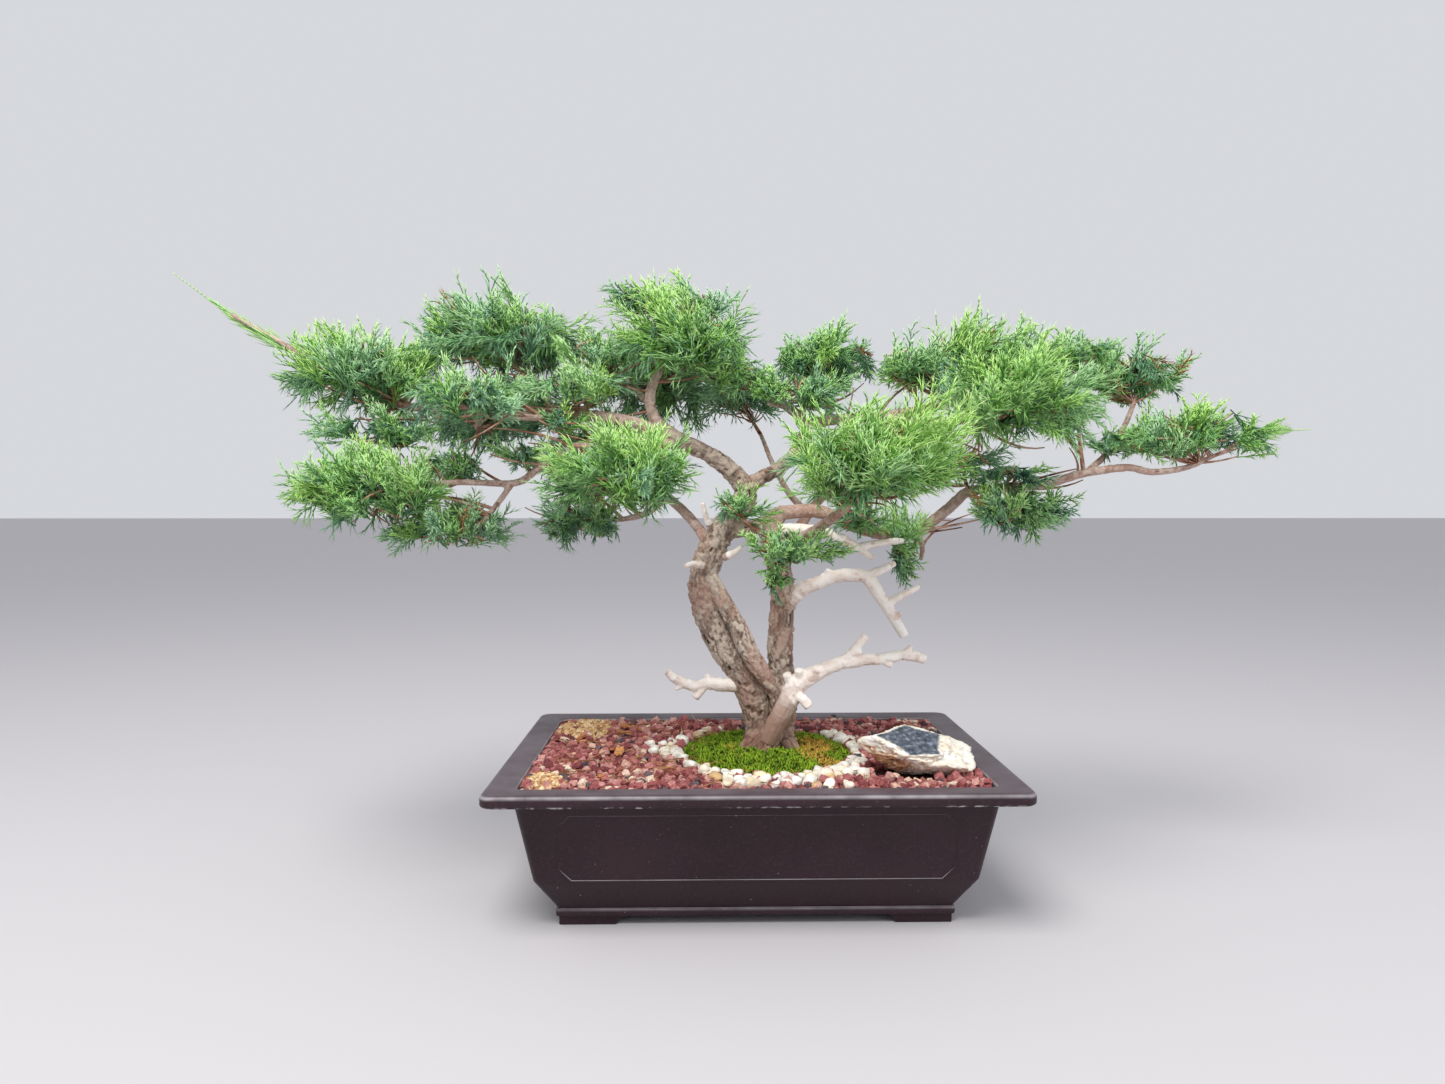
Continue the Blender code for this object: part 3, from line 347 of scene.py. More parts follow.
def smooth_route(points, step):
    """Places about a step apart on a Catmull-Rom curve, with the radius at each."""
    spots = [place(p) for p in points]
    radii = [p[3] * MM / 2 for p in points]
    spots = [2 * spots[0] - spots[1]] + spots + [2 * spots[-1] - spots[-2]]
    out, sizes = [], []
    for i in range(1, len(spots) - 2):
        a, b, c, d = spots[i - 1:i + 3]
        count = max(1, round(float(np.linalg.norm(c - b)) / step))
        for j in range(count):
            t = j / count
            out.append(0.5 * (2 * b + (c - a) * t + (2 * a - 5 * b + 4 * c - d) * t * t
                              + (3 * b - a - 3 * c + d) * t ** 3))
            sizes.append(radii[i - 1] * (1 - t) + radii[i] * t)
    out.append(spots[-2])
    sizes.append(radii[-1])
    return np.array(out), np.array(sizes)


def bow(start, elbow, end, count):
    """Places along a curve that leans towards its elbow."""
    t = np.linspace(0, 1, count)[:, None]
    return start * (1 - t) ** 2 + elbow * 2 * t * (1 - t) + end * t ** 2


def link_new(name, data):
    """A new object in the scene, for a mesh, curve, lamp or camera."""
    item = bpy.data.objects.new(name, data)
    bpy.context.scene.collection.objects.link(item)
    return item


def settled_mesh(item, *helpers):
    """The mesh that an object's modifiers or curve make; the object and its helpers go."""
    depsgraph = bpy.context.evaluated_depsgraph_get()
    mesh = bpy.data.meshes.new_from_object(item.evaluated_get(depsgraph))
    for spent in (item, *helpers):
        bpy.data.objects.remove(spent)
    return mesh


def new_curve(name, radius, resolution):
    curve = bpy.data.curves.new(name, "CURVE")
    curve.dimensions = "3D"
    curve.bevel_depth = radius
    curve.bevel_resolution = resolution
    curve.use_fill_caps = True
    return curve


def add_spline(curve, route, radii, cyclic=False):
    """A straight-sided spline along a route, with a share of the curve's radius at each place."""
    spline = curve.splines.new("POLY")
    spline.points.add(len(route) - 1)
    spline.use_cyclic_u = cyclic
    for point, spot, radius in zip(spline.points, route, radii):
        point.co = (*spot, 1.0)
        point.radius = radius


def set_attribute(mesh, label, values):
    """A number for each vertex, for the material to read."""
    values = np.asarray(values, np.float32)
    mesh.attributes.new(label, "FLOAT", "POINT").data.foreach_set("value", values)


def bumps(places, scale, height):
    """Noise at each (x, y) place, on one level of the noise field."""
    return np.array([noise.noise(Vector((x * scale, y * scale, height))) for x, y in places])


def new_piece(mesh, name, material, smooth=True):
    """A finished visual piece on the one body."""
    piece = link_new(name, mesh)
    mesh.materials.clear()
    mesh.materials.append(material)
    if smooth:
        mesh.shade_smooth()
    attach(piece, "root")
    return piece


def mesh_from_bmesh(bm, name):
    """The bmesh as a new mesh; the bmesh is freed."""
    mesh = bpy.data.meshes.new(name)
    bm.to_mesh(mesh)
    bm.free()
    return mesh


def per_vertex(mesh, field):
    """The mesh's vertex places ("co") or normals ("normal"), a row for each."""
    values = np.empty(len(mesh.vertices) * 3, np.float32)
    mesh.vertices.foreach_get(field, values)
    return values.reshape(-1, 3)


def coordinates_and_faces(bm):
    """A triangulated bmesh as two arrays; the bmesh is freed."""
    bmesh.ops.triangulate(bm, faces=bm.faces[:])
    bm.verts.index_update()
    co = np.array([vert.co for vert in bm.verts])
    faces = np.array([[vert.index for vert in face.verts] for face in bm.faces])
    bm.free()
    return co, faces


def unit(vectors):
    """The vectors, each made one long."""
    return vectors / np.maximum(np.linalg.norm(vectors, axis=-1, keepdims=True), 1e-9)


def across(direction):
    """Two directions square to each given one."""
    helper = np.where(np.abs(direction[:, 2:3]) > 0.9, (1.0, 0.0, 0.0), UP)
    side = unit(np.cross(direction, helper))
    return side, np.cross(direction, side)


# ---------------------------------------------------------------- shader building blocks

class Shader:
    """One material's node tree with short calls for the nodes this script uses."""

    def __init__(self, name, roughness=0.8, specular=0.4):
        self.material = bpy.data.materials.new(name)
        self.material.use_nodes = True
        self.nodes = self.material.node_tree.nodes
        self.links = self.material.node_tree.links
        self.surface = self.nodes["Principled BSDF"]
        self.surface.inputs["Roughness"].default_value = roughness
        self.surface.inputs["Specular IOR Level"].default_value = specular

    def add(self, kind, **settings):
        node = self.nodes.new(kind)
        for key, value in settings.items():
            setattr(node, key, value)
        return node

    def join(self, source, target):
        self.links.new(source, target)

    def group(self, tree, **values):
        node = self.add("ShaderNodeGroup", node_tree=tree)
        for key, value in values.items():
            node.inputs[key].default_value = value
        return node

    def ramp(self, factor, stops):
        node = self.add("ShaderNodeValToRGB")
        node.color_ramp.interpolation = "LINEAR"
        elements = node.color_ramp.elements
        while len(elements) < len(stops):
            elements.new(0.5)
        for element, (position, color) in zip(elements, stops):
            element.position = position
            element.color = (*color, 1.0)
        self.join(factor, node.inputs["Fac"])
        return node.outputs["Color"]

    def mix(self, factor, first, second, blend="MIX"):
        node = self.add("ShaderNodeMix", data_type="RGBA", blend_type=blend)
        for value, socket in ((factor, node.inputs[0]), (first, node.inputs[6]),
                              (second, node.inputs[7])):
            if isinstance(value, bpy.types.NodeSocket):
                self.join(value, socket)
            elif isinstance(value, tuple):
                socket.default_value = (*value, 1.0)
            else:
                socket.default_value = value
        return node.outputs[2]

    def range(self, value, low, high, to_low=0.0, to_high=1.0):
        node = self.add("ShaderNodeMapRange")
        self.join(value, node.inputs["Value"])
        for key, number in (("From Min", low), ("From Max", high),
                            ("To Min", to_low), ("To Max", to_high)):
            node.inputs[key].default_value = number
        return node.outputs["Result"]

    def times(self, first, second):
        node = self.add("ShaderNodeMath", operation="MULTIPLY")
        self.join(first, node.inputs[0])
        self.join(second, node.inputs[1])
        return node.outputs[0]

    def attribute(self, name):
        return self.add("ShaderNodeAttribute", attribute_name=name).outputs["Fac"]

    def object_place(self):
        """The place on the piece, apart as X, Y and Z."""
        apart = self.add("ShaderNodeSeparateXYZ")
        self.join(self.add("ShaderNodeTexCoord").outputs["Object"], apart.inputs[0])
        return apart

    def strand_place(self):
        """The place on the strands' map, apart as X and Y."""
        apart = self.add("ShaderNodeSeparateXYZ")
        spot = self.add("ShaderNodeUVMap", uv_map=LEAF_MAP)
        self.join(spot.outputs["UV"], apart.inputs[0])
        return apart

    def mottle(self, scale, detail, low, high):
        return self.group(MOTTLE, Scale=scale, Detail=detail, Low=low, High=high).outputs["Mask"]

    def grain(self, scale, strength, depth):
        bump = self.group(GRAIN, Scale=scale, Strength=strength, Depth=depth)
        self.normal(bump.outputs["Normal"])

    def color(self, socket):
        self.join(socket, self.surface.inputs["Base Color"])

    def roughness(self, socket):
        self.join(socket, self.surface.inputs["Roughness"])

    def normal(self, socket):
        self.join(socket, self.surface.inputs["Normal"])


def start_group(name, inputs, output, output_type="NodeSocketFloat"):
    """A node group with number inputs and one output."""
    tree = bpy.data.node_groups.new(name, "ShaderNodeTree")
    for label, value in inputs:
        socket = tree.interface.new_socket(label, in_out="INPUT", socket_type="NodeSocketFloat")
        socket.default_value = value
    tree.interface.new_socket(output, in_out="OUTPUT", socket_type=output_type)
    return tree, tree.nodes.new("NodeGroupInput"), tree.nodes.new("NodeGroupOutput")


def make_mottle_group():
    """Blotches on object coordinates, spread to a mask between two levels."""
    inputs = [("Scale", 100.0), ("Detail", 4.0), ("Low", 0.35), ("High", 0.65)]
    tree, source, target = start_group("mottle", inputs, "Mask")
    where = tree.nodes.new("ShaderNodeTexCoord")
    field = tree.nodes.new("ShaderNodeTexNoise")
    spread = tree.nodes.new("ShaderNodeMapRange")
    tree.links.new(where.outputs["Object"], field.inputs["Vector"])
    tree.links.new(source.outputs["Scale"], field.inputs["Scale"])
    tree.links.new(source.outputs["Detail"], field.inputs["Detail"])
    tree.links.new(field.outputs["Fac"], spread.inputs["Value"])
    tree.links.new(source.outputs["Low"], spread.inputs["From Min"])
    tree.links.new(source.outputs["High"], spread.inputs["From Max"])
    tree.links.new(spread.outputs["Result"], target.inputs["Mask"])
    return tree


def make_grain_group():
    """A fine two-size bump on object coordinates."""
    inputs = [("Scale", 400.0), ("Strength", 0.4), ("Depth", 0.001)]
    tree, source, target = start_group("grain", inputs, "Normal", "NodeSocketVector")
    where = tree.nodes.new("ShaderNodeTexCoord")
    field = tree.nodes.new("ShaderNodeTexNoise")
    field.inputs["Detail"].default_value = 6.0
    field.inputs["Roughness"].default_value = 0.65
    bump = tree.nodes.new("ShaderNodeBump")
    tree.links.new(where.outputs["Object"], field.inputs["Vector"])
    tree.links.new(source.outputs["Scale"], field.inputs["Scale"])
    tree.links.new(field.outputs["Fac"], bump.inputs["Height"])
    tree.links.new(source.outputs["Strength"], bump.inputs["Strength"])
    tree.links.new(source.outputs["Depth"], bump.inputs["Distance"])
    tree.links.new(bump.outputs["Normal"], target.inputs["Normal"])
    return tree


MOTTLE = make_mottle_group()
GRAIN = make_grain_group()


# ---------------------------------------------------------------- materials

def plastic_material():
    """Dark aubergine-brown moulded plastic, dusty on what faces up, with a painted highlight on its
    rounded edges, scuffed under its lip.
    """
    look = Shader("moulded_plastic", 0.42, 0.28)
    cloud = look.mottle(14.0, 6.0, 0.3, 0.7)
    base = look.ramp(cloud, [(0.0, (0.019, 0.008, 0.012)), (1.0, (0.033, 0.015, 0.021))])
    fleck = look.mottle(420.0, 5.0, 0.50, 0.75)
    flecked = look.mix(look.range(fleck, 0.0, 1.0, 0.0, 0.30), base, (0.070, 0.042, 0.045))
    facing = look.add("ShaderNodeSeparateXYZ")
    look.join(look.add("ShaderNodeNewGeometry").outputs["Normal"], facing.inputs[0])
    upward = look.range(facing.outputs["Z"], 0.4, 0.95, 0.0, 0.80)
    dust_and_highlight_mottle = look.mottle(48.0, 8.0, 0.30, 0.72)
    dusty = look.times(upward, look.range(dust_and_highlight_mottle, 0.0, 1.0, 0.45, 1.0))
    dust_and_painted_highlight = look.mix(dusty, flecked, (0.128, 0.096, 0.116))
    # Painted highlight: faces between up and sideways, as on the rim's rounded edges, are painted
    # light grey, in patches of the same mottle as the dust.
    edge = look.times(look.range(facing.outputs["Z"], 0.10, 0.45),
                      look.range(facing.outputs["Z"], 0.93, 0.70))
    dust_and_painted_highlight = look.mix(look.times(edge, look.range(dust_and_highlight_mottle, 0.0, 1.0, 0.35, 1.0)), dust_and_painted_highlight,
                       (0.330, 0.305, 0.325))
    where = look.object_place()
    # The lip's underside, 8 to 11 mm below the rim, is scuffed in broken stretches.
    under_lip = look.times(look.range(where.outputs["Z"], RIM_Z - 0.0112, RIM_Z - 0.0098),
                           look.range(where.outputs["Z"], RIM_Z - 0.0080, RIM_Z - 0.0094))
    chalky = look.mottle(210.0, 9.0, 0.50, 0.60)
    patchy = look.mottle(11.0, 2.0, 0.44, 0.62)
    rubbed = look.times(look.times(under_lip, chalky), patchy)
    scuffed = look.mix(rubbed, dust_and_painted_highlight, (0.55, 0.52, 0.53))
    speck = look.mottle(330.0, 3.0, 0.74, 0.78)
    look.color(look.mix(look.range(speck, 0.0, 1.0, 0.0, 0.7), scuffed, (0.48, 0.45, 0.46)))
    look.roughness(look.range(cloud, 0.0, 1.0, 0.34, 0.54))
    look.grain(650.0, 0.30, 0.0006)
    return look.material


def stone_chip_material(name, stops, scale, roughness, bump):
    """Small stones: each takes a tone from its own number, with a speckle over it."""
    look = Shader(name, roughness, 0.3)
    tone = look.ramp(look.attribute("tone"), stops)
    speck = look.mottle(scale, 5.0, 0.35, 0.7)
    shade = look.ramp(speck, [(0.0, (0.62, 0.60, 0.60)), (1.0, (1.12, 1.10, 1.08))])
    look.color(look.mix(1.0, tone, shade, "MULTIPLY"))
    look.grain(scale * 1.6, bump, 0.0008)
    return look.material


def bed_material():
    """The dark grit between the loose stones."""
    look = Shader("gravel_bed", 0.95, 0.2)
    grit = look.mottle(420.0, 6.0, 0.3, 0.7)
    look.color(look.ramp(grit, [(0.0, (0.022, 0.010, 0.009)), (1.0, (0.12, 0.040, 0.034))]))
    look.grain(500.0, 0.9, 0.002)
    return look.material


def soil_material():
    """Dark crumbly soil."""
    look = Shader("damp_soil", 0.95, 0.2)
    crumb = look.mottle(300.0, 8.0, 0.3, 0.7)
    look.color(look.ramp(crumb, [(0.0, (0.020, 0.012, 0.008)), (1.0, (0.085, 0.055, 0.036))]))
    look.grain(350.0, 0.8, 0.002)
    return look.material


def screen_material():
    """The black mesh plastic over the drain holes."""
    look = Shader("drain_screen_plastic", 0.6, 0.3)
    wear = look.mottle(120.0, 4.0, 0.3, 0.7)
    look.color(look.ramp(wear, [(0.0, (0.010, 0.010, 0.010)), (1.0, (0.030, 0.030, 0.028))]))
    look.grain(900.0, 0.3, 0.0004)
    return look.material


def bark_material(name, deep, middle, ridge, flush, flush_share, pale_above):
    """Flaky bark: dark in its cracks, pale on its ridges, redder in stretches.

    It is paler from pale_above over the rim on, and browner near the moss.
    """
    look = Shader(name, 0.88, 0.25)
    tone = look.ramp(look.attribute("relief"),
                     [(0.0, deep), (0.32, deep), (0.43, middle), (0.68, ridge)])
    flushed = look.range(look.attribute("tint"), 0.40, 0.85, 0.0, flush_share)
    tinted = look.mix(flushed, tone, flush)
    where = look.object_place()
    aloft = look.range(where.outputs["Z"], RIM_Z + pale_above, RIM_Z + pale_above + 0.07, 0.0, 0.45)
    peeled = look.mix(look.times(aloft, look.range(look.attribute("relief"), 0.35, 0.62)),
                      tinted, (0.52, 0.40, 0.33))
    low_down = look.range(where.outputs["Z"], RIM_Z + 0.070, RIM_Z, 0.0, 0.85)
    peeled = look.mix(low_down, peeled, (0.60, 0.42, 0.37), "MULTIPLY")
    fleck = look.mottle(460.0, 6.0, 0.3, 0.72)
    shade = look.ramp(fleck, [(0.0, (0.72, 0.70, 0.69)), (1.0, (1.16, 1.15, 1.14))])
    look.color(look.mix(1.0, peeled, shade, "MULTIPLY"))
    look.grain(560.0, 0.6, 0.001)
    return look.material


def bleached_material():
    """Deadwood: cream-pink on the surface, browner in its grooves and near the trunk."""
    look = Shader("bleached_deadwood", 0.78, 0.3)
    relief = look.attribute("relief")
    wood = look.ramp(relief, [(0.0, (0.30, 0.185, 0.130)), (0.28, (0.72, 0.56, 0.48)),
                              (0.50, (0.93, 0.82, 0.75)), (0.80, (0.98, 0.93, 0.88))])
    blot = look.mottle(70.0, 5.0, 0.52, 0.74)
    stained = look.mix(look.range(blot, 0.0, 1.0, 0.0, 0.35), wood, (0.56, 0.38, 0.30))
    look.color(look.mix(look.attribute("root"), stained, (0.38, 0.235, 0.180)))
    look.grain(520.0, 0.4, 0.0008)
    return look.material


def leaf_material():
    """Scale foliage: the map's first axis is age and painted light, its second the spray's tone,
    partly its own colour and partly painted shade.
    """
    look = Shader("scale_foliage", 0.52, 0.35)
    spot = look.strand_place()
    cool = look.ramp(spot.outputs["X"], [
        (0.0, (0.014, 0.046, 0.032)), (0.28, (0.092, 0.228, 0.145)), (0.55, (0.215, 0.430, 0.270)),
        (0.80, (0.390, 0.650, 0.400)), (1.0, (0.600, 0.850, 0.520))])
    warm = look.ramp(spot.outputs["X"], [
        (0.0, (0.014, 0.050, 0.010)), (0.28, (0.110, 0.290, 0.062)), (0.55, (0.275, 0.570, 0.125)),
        (0.80, (0.475, 0.800, 0.200)), (1.0, (0.690, 0.930, 0.350))])
    living = look.mix(look.range(spot.outputs["Y"], 0.10, 0.95), cool, warm)
    dead = look.ramp(spot.outputs["X"], [(0.0, (0.10, 0.035, 0.016)), (1.0, (0.50, 0.24, 0.10))])
    is_dead = look.range(spot.outputs["Y"], 0.045, 0.035)
    look.color(look.mix(is_dead, living, dead))
    look.roughness(look.range(spot.outputs["X"], 0.0, 1.0, 0.62, 0.46))
    return look.material


def strand_material(name, stops, roughness):
    """Moss and dead needles: tone along the map's second axis, lighter to the tip."""
    look = Shader(name, roughness, 0.25)
    spot = look.strand_place()
    tone = look.ramp(spot.outputs["Y"], stops)
    light = look.ramp(spot.outputs["X"], [(0.0, (0.35, 0.35, 0.35)), (1.0, (1.25, 1.25, 1.2))])
    look.color(look.mix(1.0, tone, light, "MULTIPLY"))
    return look.material


def moss_bed_material():
    """The dark green under the moss tufts, brown in a few patches."""
    look = Shader("moss_bed", 0.95, 0.2)
    patch = look.mottle(45.0, 6.0, 0.42, 0.62)
    green = look.mottle(350.0, 5.0, 0.3, 0.7)
    dark = look.ramp(green, [(0.0, (0.030, 0.062, 0.004)), (1.0, (0.120, 0.220, 0.014))])
    look.color(look.mix(look.range(patch, 0.0, 1.0, 0.0, 0.35), dark, (0.20, 0.12, 0.02)))
    look.grain(420.0, 1.0, 0.002)
    return look.material


def craggy_stone_material():
    """Chalky cream stone with a slate-grey face on top and rusty hollows at its left end; its
    hollows and cracks are painted near black as shade.
    """
    look = Shader("craggy_stone", 0.75, 0.35)
    chalk_mask = look.mottle(90.0, 7.0, 0.3, 0.7)
    chalk = look.ramp(chalk_mask, [(0.0, (0.66, 0.44, 0.24)), (0.3, (0.88, 0.80, 0.66)),
                                   (1.0, (0.97, 0.95, 0.90))])
    rust = look.ramp(look.mottle(160.0, 7.0, 0.3, 0.7),
                     [(0.0, (0.22, 0.085, 0.040)), (0.5, (0.60, 0.31, 0.16)),
                      (1.0, (0.88, 0.68, 0.46))])
    slate = look.ramp(look.mottle(260.0, 8.0, 0.3, 0.7),
                      [(0.0, (0.028, 0.034, 0.048)), (0.6, (0.10, 0.12, 0.155)),
                       (1.0, (0.28, 0.30, 0.36))])
    warm = look.mix(look.range(look.attribute("rust"), 0.0, 0.55), chalk, rust)
    # Painted shade: the "hollow" attribute paints the hollows and cracks near black.
    with_painted_hollow_shade = look.mix(look.attribute("hollow"), warm, (0.040, 0.022, 0.016))
    look.color(look.mix(look.attribute("slate"), with_painted_hollow_shade, slate))
    look.roughness(look.range(chalk_mask, 0.0, 1.0, 0.85, 0.6))
    look.grain(330.0, 0.75, 0.0015)
    return look.material


# ---------------------------------------------------------------- pot

def rounded_outline(inset, z):
    """A round-cornered rectangle, set in from the rim's edge."""
    half_x, half_y = POT_HIGH[0] - inset, POT_HIGH[1] - inset
    corner = max(RIM_CORNER - 0.12 * inset, 0.004)
    points = []
    for quarter, (sx, sy) in enumerate(((1, 1), (-1, 1), (-1, -1), (1, -1))):
        for i in range(RIM_CORNER_SEGMENTS + 1):
            angle = math.radians(90 * quarter + 90 * i / RIM_CORNER_SEGMENTS)
            points.append((sx * (half_x - corner) + corner * math.cos(angle),
                           sy * (half_y - corner) + corner * math.sin(angle), z))
    return points


def wall_inset(depth):
    """How far the wall's outside is set in from the rim's edge, at a depth below it."""
    for (low, wide), (high, narrow) in zip(WALL_LINE, WALL_LINE[1:]):
        if depth >= high:
            return narrow + (wide - narrow) * (depth - high) / (low - high)
    return WALL_LINE[-1][1]


def pot_sections():
    """The pot's profile as (inset, depth below the rim): base band, wall, lip, rim, inside."""
    band = [(0.0520, 0.1095), (0.0508, 0.1095), (0.0502, 0.1092), (0.0500, 0.1086),
            (0.0500, 0.1044), (0.0503, 0.1038), (0.0511, 0.1035)]
    wall = [(wall_inset(depth), depth)
            for depth in (0.1032, 0.0985, 0.0935, 0.0885, 0.0840, 0.0800, 0.0765, 0.0735, 0.0690,
                          0.0580, 0.0460, 0.0340, 0.0220, 0.0150, 0.0128)]
    lip = [(0.0208, 0.0112), (0.0192, 0.0104), (0.0030, 0.0101), (0.0013, 0.0097),
           (0.0004, 0.0089), (0.0, 0.0078), (0.0, 0.0034), (0.0004, 0.0019), (0.0013, 0.0008),
           (0.0027, 0.0001), (0.0046, 0.0)]
    rim = [(0.0216, 0.0007), (0.0229, 0.0010), (0.0238, 0.0017), (0.0242, 0.0030)]
    inside = [(0.0252, 0.0080), (0.0262, 0.0128), (0.0326, 0.0446), (0.0390, 0.0765),
              (0.0437, 0.0840), (0.0502, 0.0935), (0.0542, 0.1005), (0.0556, 0.1030),
              (0.0584, 0.1045)]
    return band + wall + lip + rim + inside


def add_foot(bm, sx, sy):
    """An L-shaped corner foot with sloping ends, its edges eased."""
    x, y = POT_HIGH[0] - FOOT_INSET, POT_HIGH[1] - FOOT_INSET
    arm, width = FOOT_REACH - FOOT_HEIGHT, FOOT_WIDTH
    corners = [(x, y), (x - arm, y), (x - arm, y - width), (x - width, y - width),
               (x - width, y - arm), (x, y - arm)]
    bottom = [bm.verts.new((sx * a, sy * b, 0.0)) for a, b in corners]
    face = bm.faces.new(bottom)
    grown = bmesh.ops.extrude_face_region(bm, geom=[face])
    top = [v for v in grown["geom"] if isinstance(v, bmesh.types.BMVert)]
    bmesh.ops.translate(bm, vec=(0, 0, FOOT_HEIGHT + 0.001), verts=top)
    for vert in top:
        if abs(abs(vert.co.x) - (x - arm)) < 1e-6:
            vert.co.x -= sx * FOOT_HEIGHT
        if abs(abs(vert.co.y) - (y - arm)) < 1e-6:
            vert.co.y -= sy * FOOT_HEIGHT
    edges = {edge for vert in bottom for edge in vert.link_edges}
    bmesh.ops.bevel(bm, geom=list(edges), offset=FOOT_EASING, offset_type="OFFSET",
                    segments=2, profile=0.5, affect="EDGES", material=-1)


def pot_shell():
    """The pot without its holes and feet: its profile carried round, ring by ring."""
    bm = bmesh.new()
    ring = []
    for inset, depth in pot_sections():
        outline = rounded_outline(inset, RIM_Z - depth)
        if not ring:
            ring = [bm.verts.new(point) for point in outline]
            bm.faces.new(ring)
            continue
        edges = [bm.edges.get(pair) for pair in zip(ring, ring[1:] + ring[:1])]
        grown = bmesh.ops.extrude_edge_only(bm, edges=edges)
        new = {tuple(v.co): v for v in grown["geom"] if isinstance(v, bmesh.types.BMVert)}
        ring = [new[tuple(vert.co)] for vert in ring]
        for vert, spot in zip(ring, outline):
            vert.co = spot
    bm.faces.new(ring)
    bmesh.ops.recalc_face_normals(bm, faces=bm.faces[:])
    return mesh_from_bmesh(bm, "pot_body")


def make_pot(material):
    body = link_new("pot_body", pot_shell())
    drills = []
    for x in (-DRAIN_HOLE_SPACING / 2, DRAIN_HOLE_SPACING / 2):
        bm = bmesh.new()
        bmesh.ops.create_cone(bm, cap_ends=True, segments=32, radius1=DRAIN_HOLE_RADIUS,
                              radius2=DRAIN_HOLE_RADIUS, depth=0.030)
        bmesh.ops.translate(bm, vec=(x, 0, FOOT_HEIGHT), verts=bm.verts)
        drill = link_new("drill", mesh_from_bmesh(bm, "drill"))
        hole = body.modifiers.new("hole", "BOOLEAN")
        hole.operation = "DIFFERENCE"
        hole.object = drill
        hole.solver = "EXACT"
        drills.append(drill)
    pot = settled_mesh(body, *drills)
    bm = bmesh.new()
    bm.from_mesh(pot)
    for sx, sy in ((1, 1), (-1, 1), (-1, -1), (1, -1)):
        add_foot(bm, sx, sy)
    bmesh.ops.recalc_face_normals(bm, faces=bm.faces[:])
    bm.to_mesh(pot)
    bm.free()
    pot.shade_smooth()
    pot.set_sharp_from_angle(angle=math.radians(38))
    piece = new_piece(pot, "moulded_pot", material, smooth=False)
    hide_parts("pot")


def make_panel_lines(material):
    """The fine raised line of a clipped-corner panel on the front and the back wall."""
    curve = new_curve("panel", PANEL_LINE_RADIUS, 2)
    hx = POT_HIGH[0] - PANEL_END_MARGIN
    top, bottom, clip = PANEL_TOP, PANEL_BOTTOM, PANEL_CLIP
    outline = [(hx, bottom - clip), (hx, top + clip), (hx - clip, top), (clip - hx, top),
               (-hx, top + clip), (-hx, bottom - clip), (clip - hx, bottom), (hx - clip, bottom)]
    for side in (-1, 1):
        route = [(x, side * (POT_HIGH[1] - wall_inset(depth) - 0.0004), RIM_Z - depth)
                 for x, depth in outline]
        radii = [0.55 if depth < top + 2 * clip else 1.05 for _, depth in outline]
        add_spline(curve, route, radii, cyclic=True)
    mesh = settled_mesh(link_new("panel", curve))
    new_piece(mesh, "panel_lines", material)


def assign_carried_node(node, material):
    """A look for a node that stays as it is."""
    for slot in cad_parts[node].material_slots:
        slot.material = material


# ---------------------------------------------------------------- loose stones

def chip_shape(seed, cuts, roundness, roughness):
    """One small stone: a cut-up cube, part rounded, with uneven corners."""
    bm = bmesh.new()
    bmesh.ops.create_cube(bm, size=1.0)
    bmesh.ops.subdivide_edges(bm, edges=bm.edges[:], cuts=cuts, use_grid_fill=True)
    for vert in bm.verts:
        ball = vert.co.normalized() * 0.55
        vert.co = vert.co.lerp(ball, roundness)
        shift = noise.noise_vector(vert.co * 2.6 + Vector((seed * 7.3, seed * 3.1, 0.0)))
        vert.co += shift * roughness
    co, faces = coordinates_and_faces(bm)
    co -= (co.max(0) + co.min(0)) / 2
    return co / (co.max(0) - co.min(0)), faces


def random_turns(count, rng, lean=1.0):
    """Rotation matrices: any heading, tipped over by up to lean of a half turn."""
    heading = rng.uniform(0, math.tau, count)
    tip = rng.uniform(-1, 1, (count, 2)) * lean * math.pi
    out = np.empty((count, 3, 3))
    for i in range(count):
        out[i] = (Matrix.Rotation(heading[i], 3, "Z") @ Matrix.Rotation(tip[i, 0], 3, "X")
                  @ Matrix.Rotation(tip[i, 1], 3, "Y"))
    return out


def scatter_chips(name, shapes, spots, sizes, turns, tones, material, smooth=False):
    """Copies of a few stone shapes, one at each spot, as one mesh with a tone for each."""
    all_co, all_faces, all_tones = [], [], []
    offset = 0
    for i, spot in enumerate(spots):
        co, faces = shapes[i % len(shapes)]
        placed = (co * sizes[i]) @ turns[i].T + spot
        all_co.append(placed)
        all_faces.append(faces + offset)
        all_tones.append(np.full(len(co), tones[i]))
        offset += len(co)
    mesh = bpy.data.meshes.new(name)
    mesh.from_pydata(np.concatenate(all_co), [], np.concatenate(all_faces))
    set_attribute(mesh, "tone", np.concatenate(all_tones))
    return new_piece(mesh, name, material, smooth)


def in_moss(x, y, grow):
    """Whether a place is on the moss mound, grown by a margin."""
    return (((x - MOSS_CENTRE[0]) / (MOSS_HALF[0] + grow)) ** 2
            + ((y - MOSS_CENTRE[1]) / (MOSS_HALF[1] + grow)) ** 2) < 1.0


def under_stone(x, y, grow):
    """Whether a place is under the craggy stone, grown by a margin."""
    return (((x - STONE_CENTRE[0]) / (STONE_HALF[0] + grow)) ** 2
            + ((y - STONE_CENTRE[1]) / (STONE_HALF[1] + grow)) ** 2) < 0.8


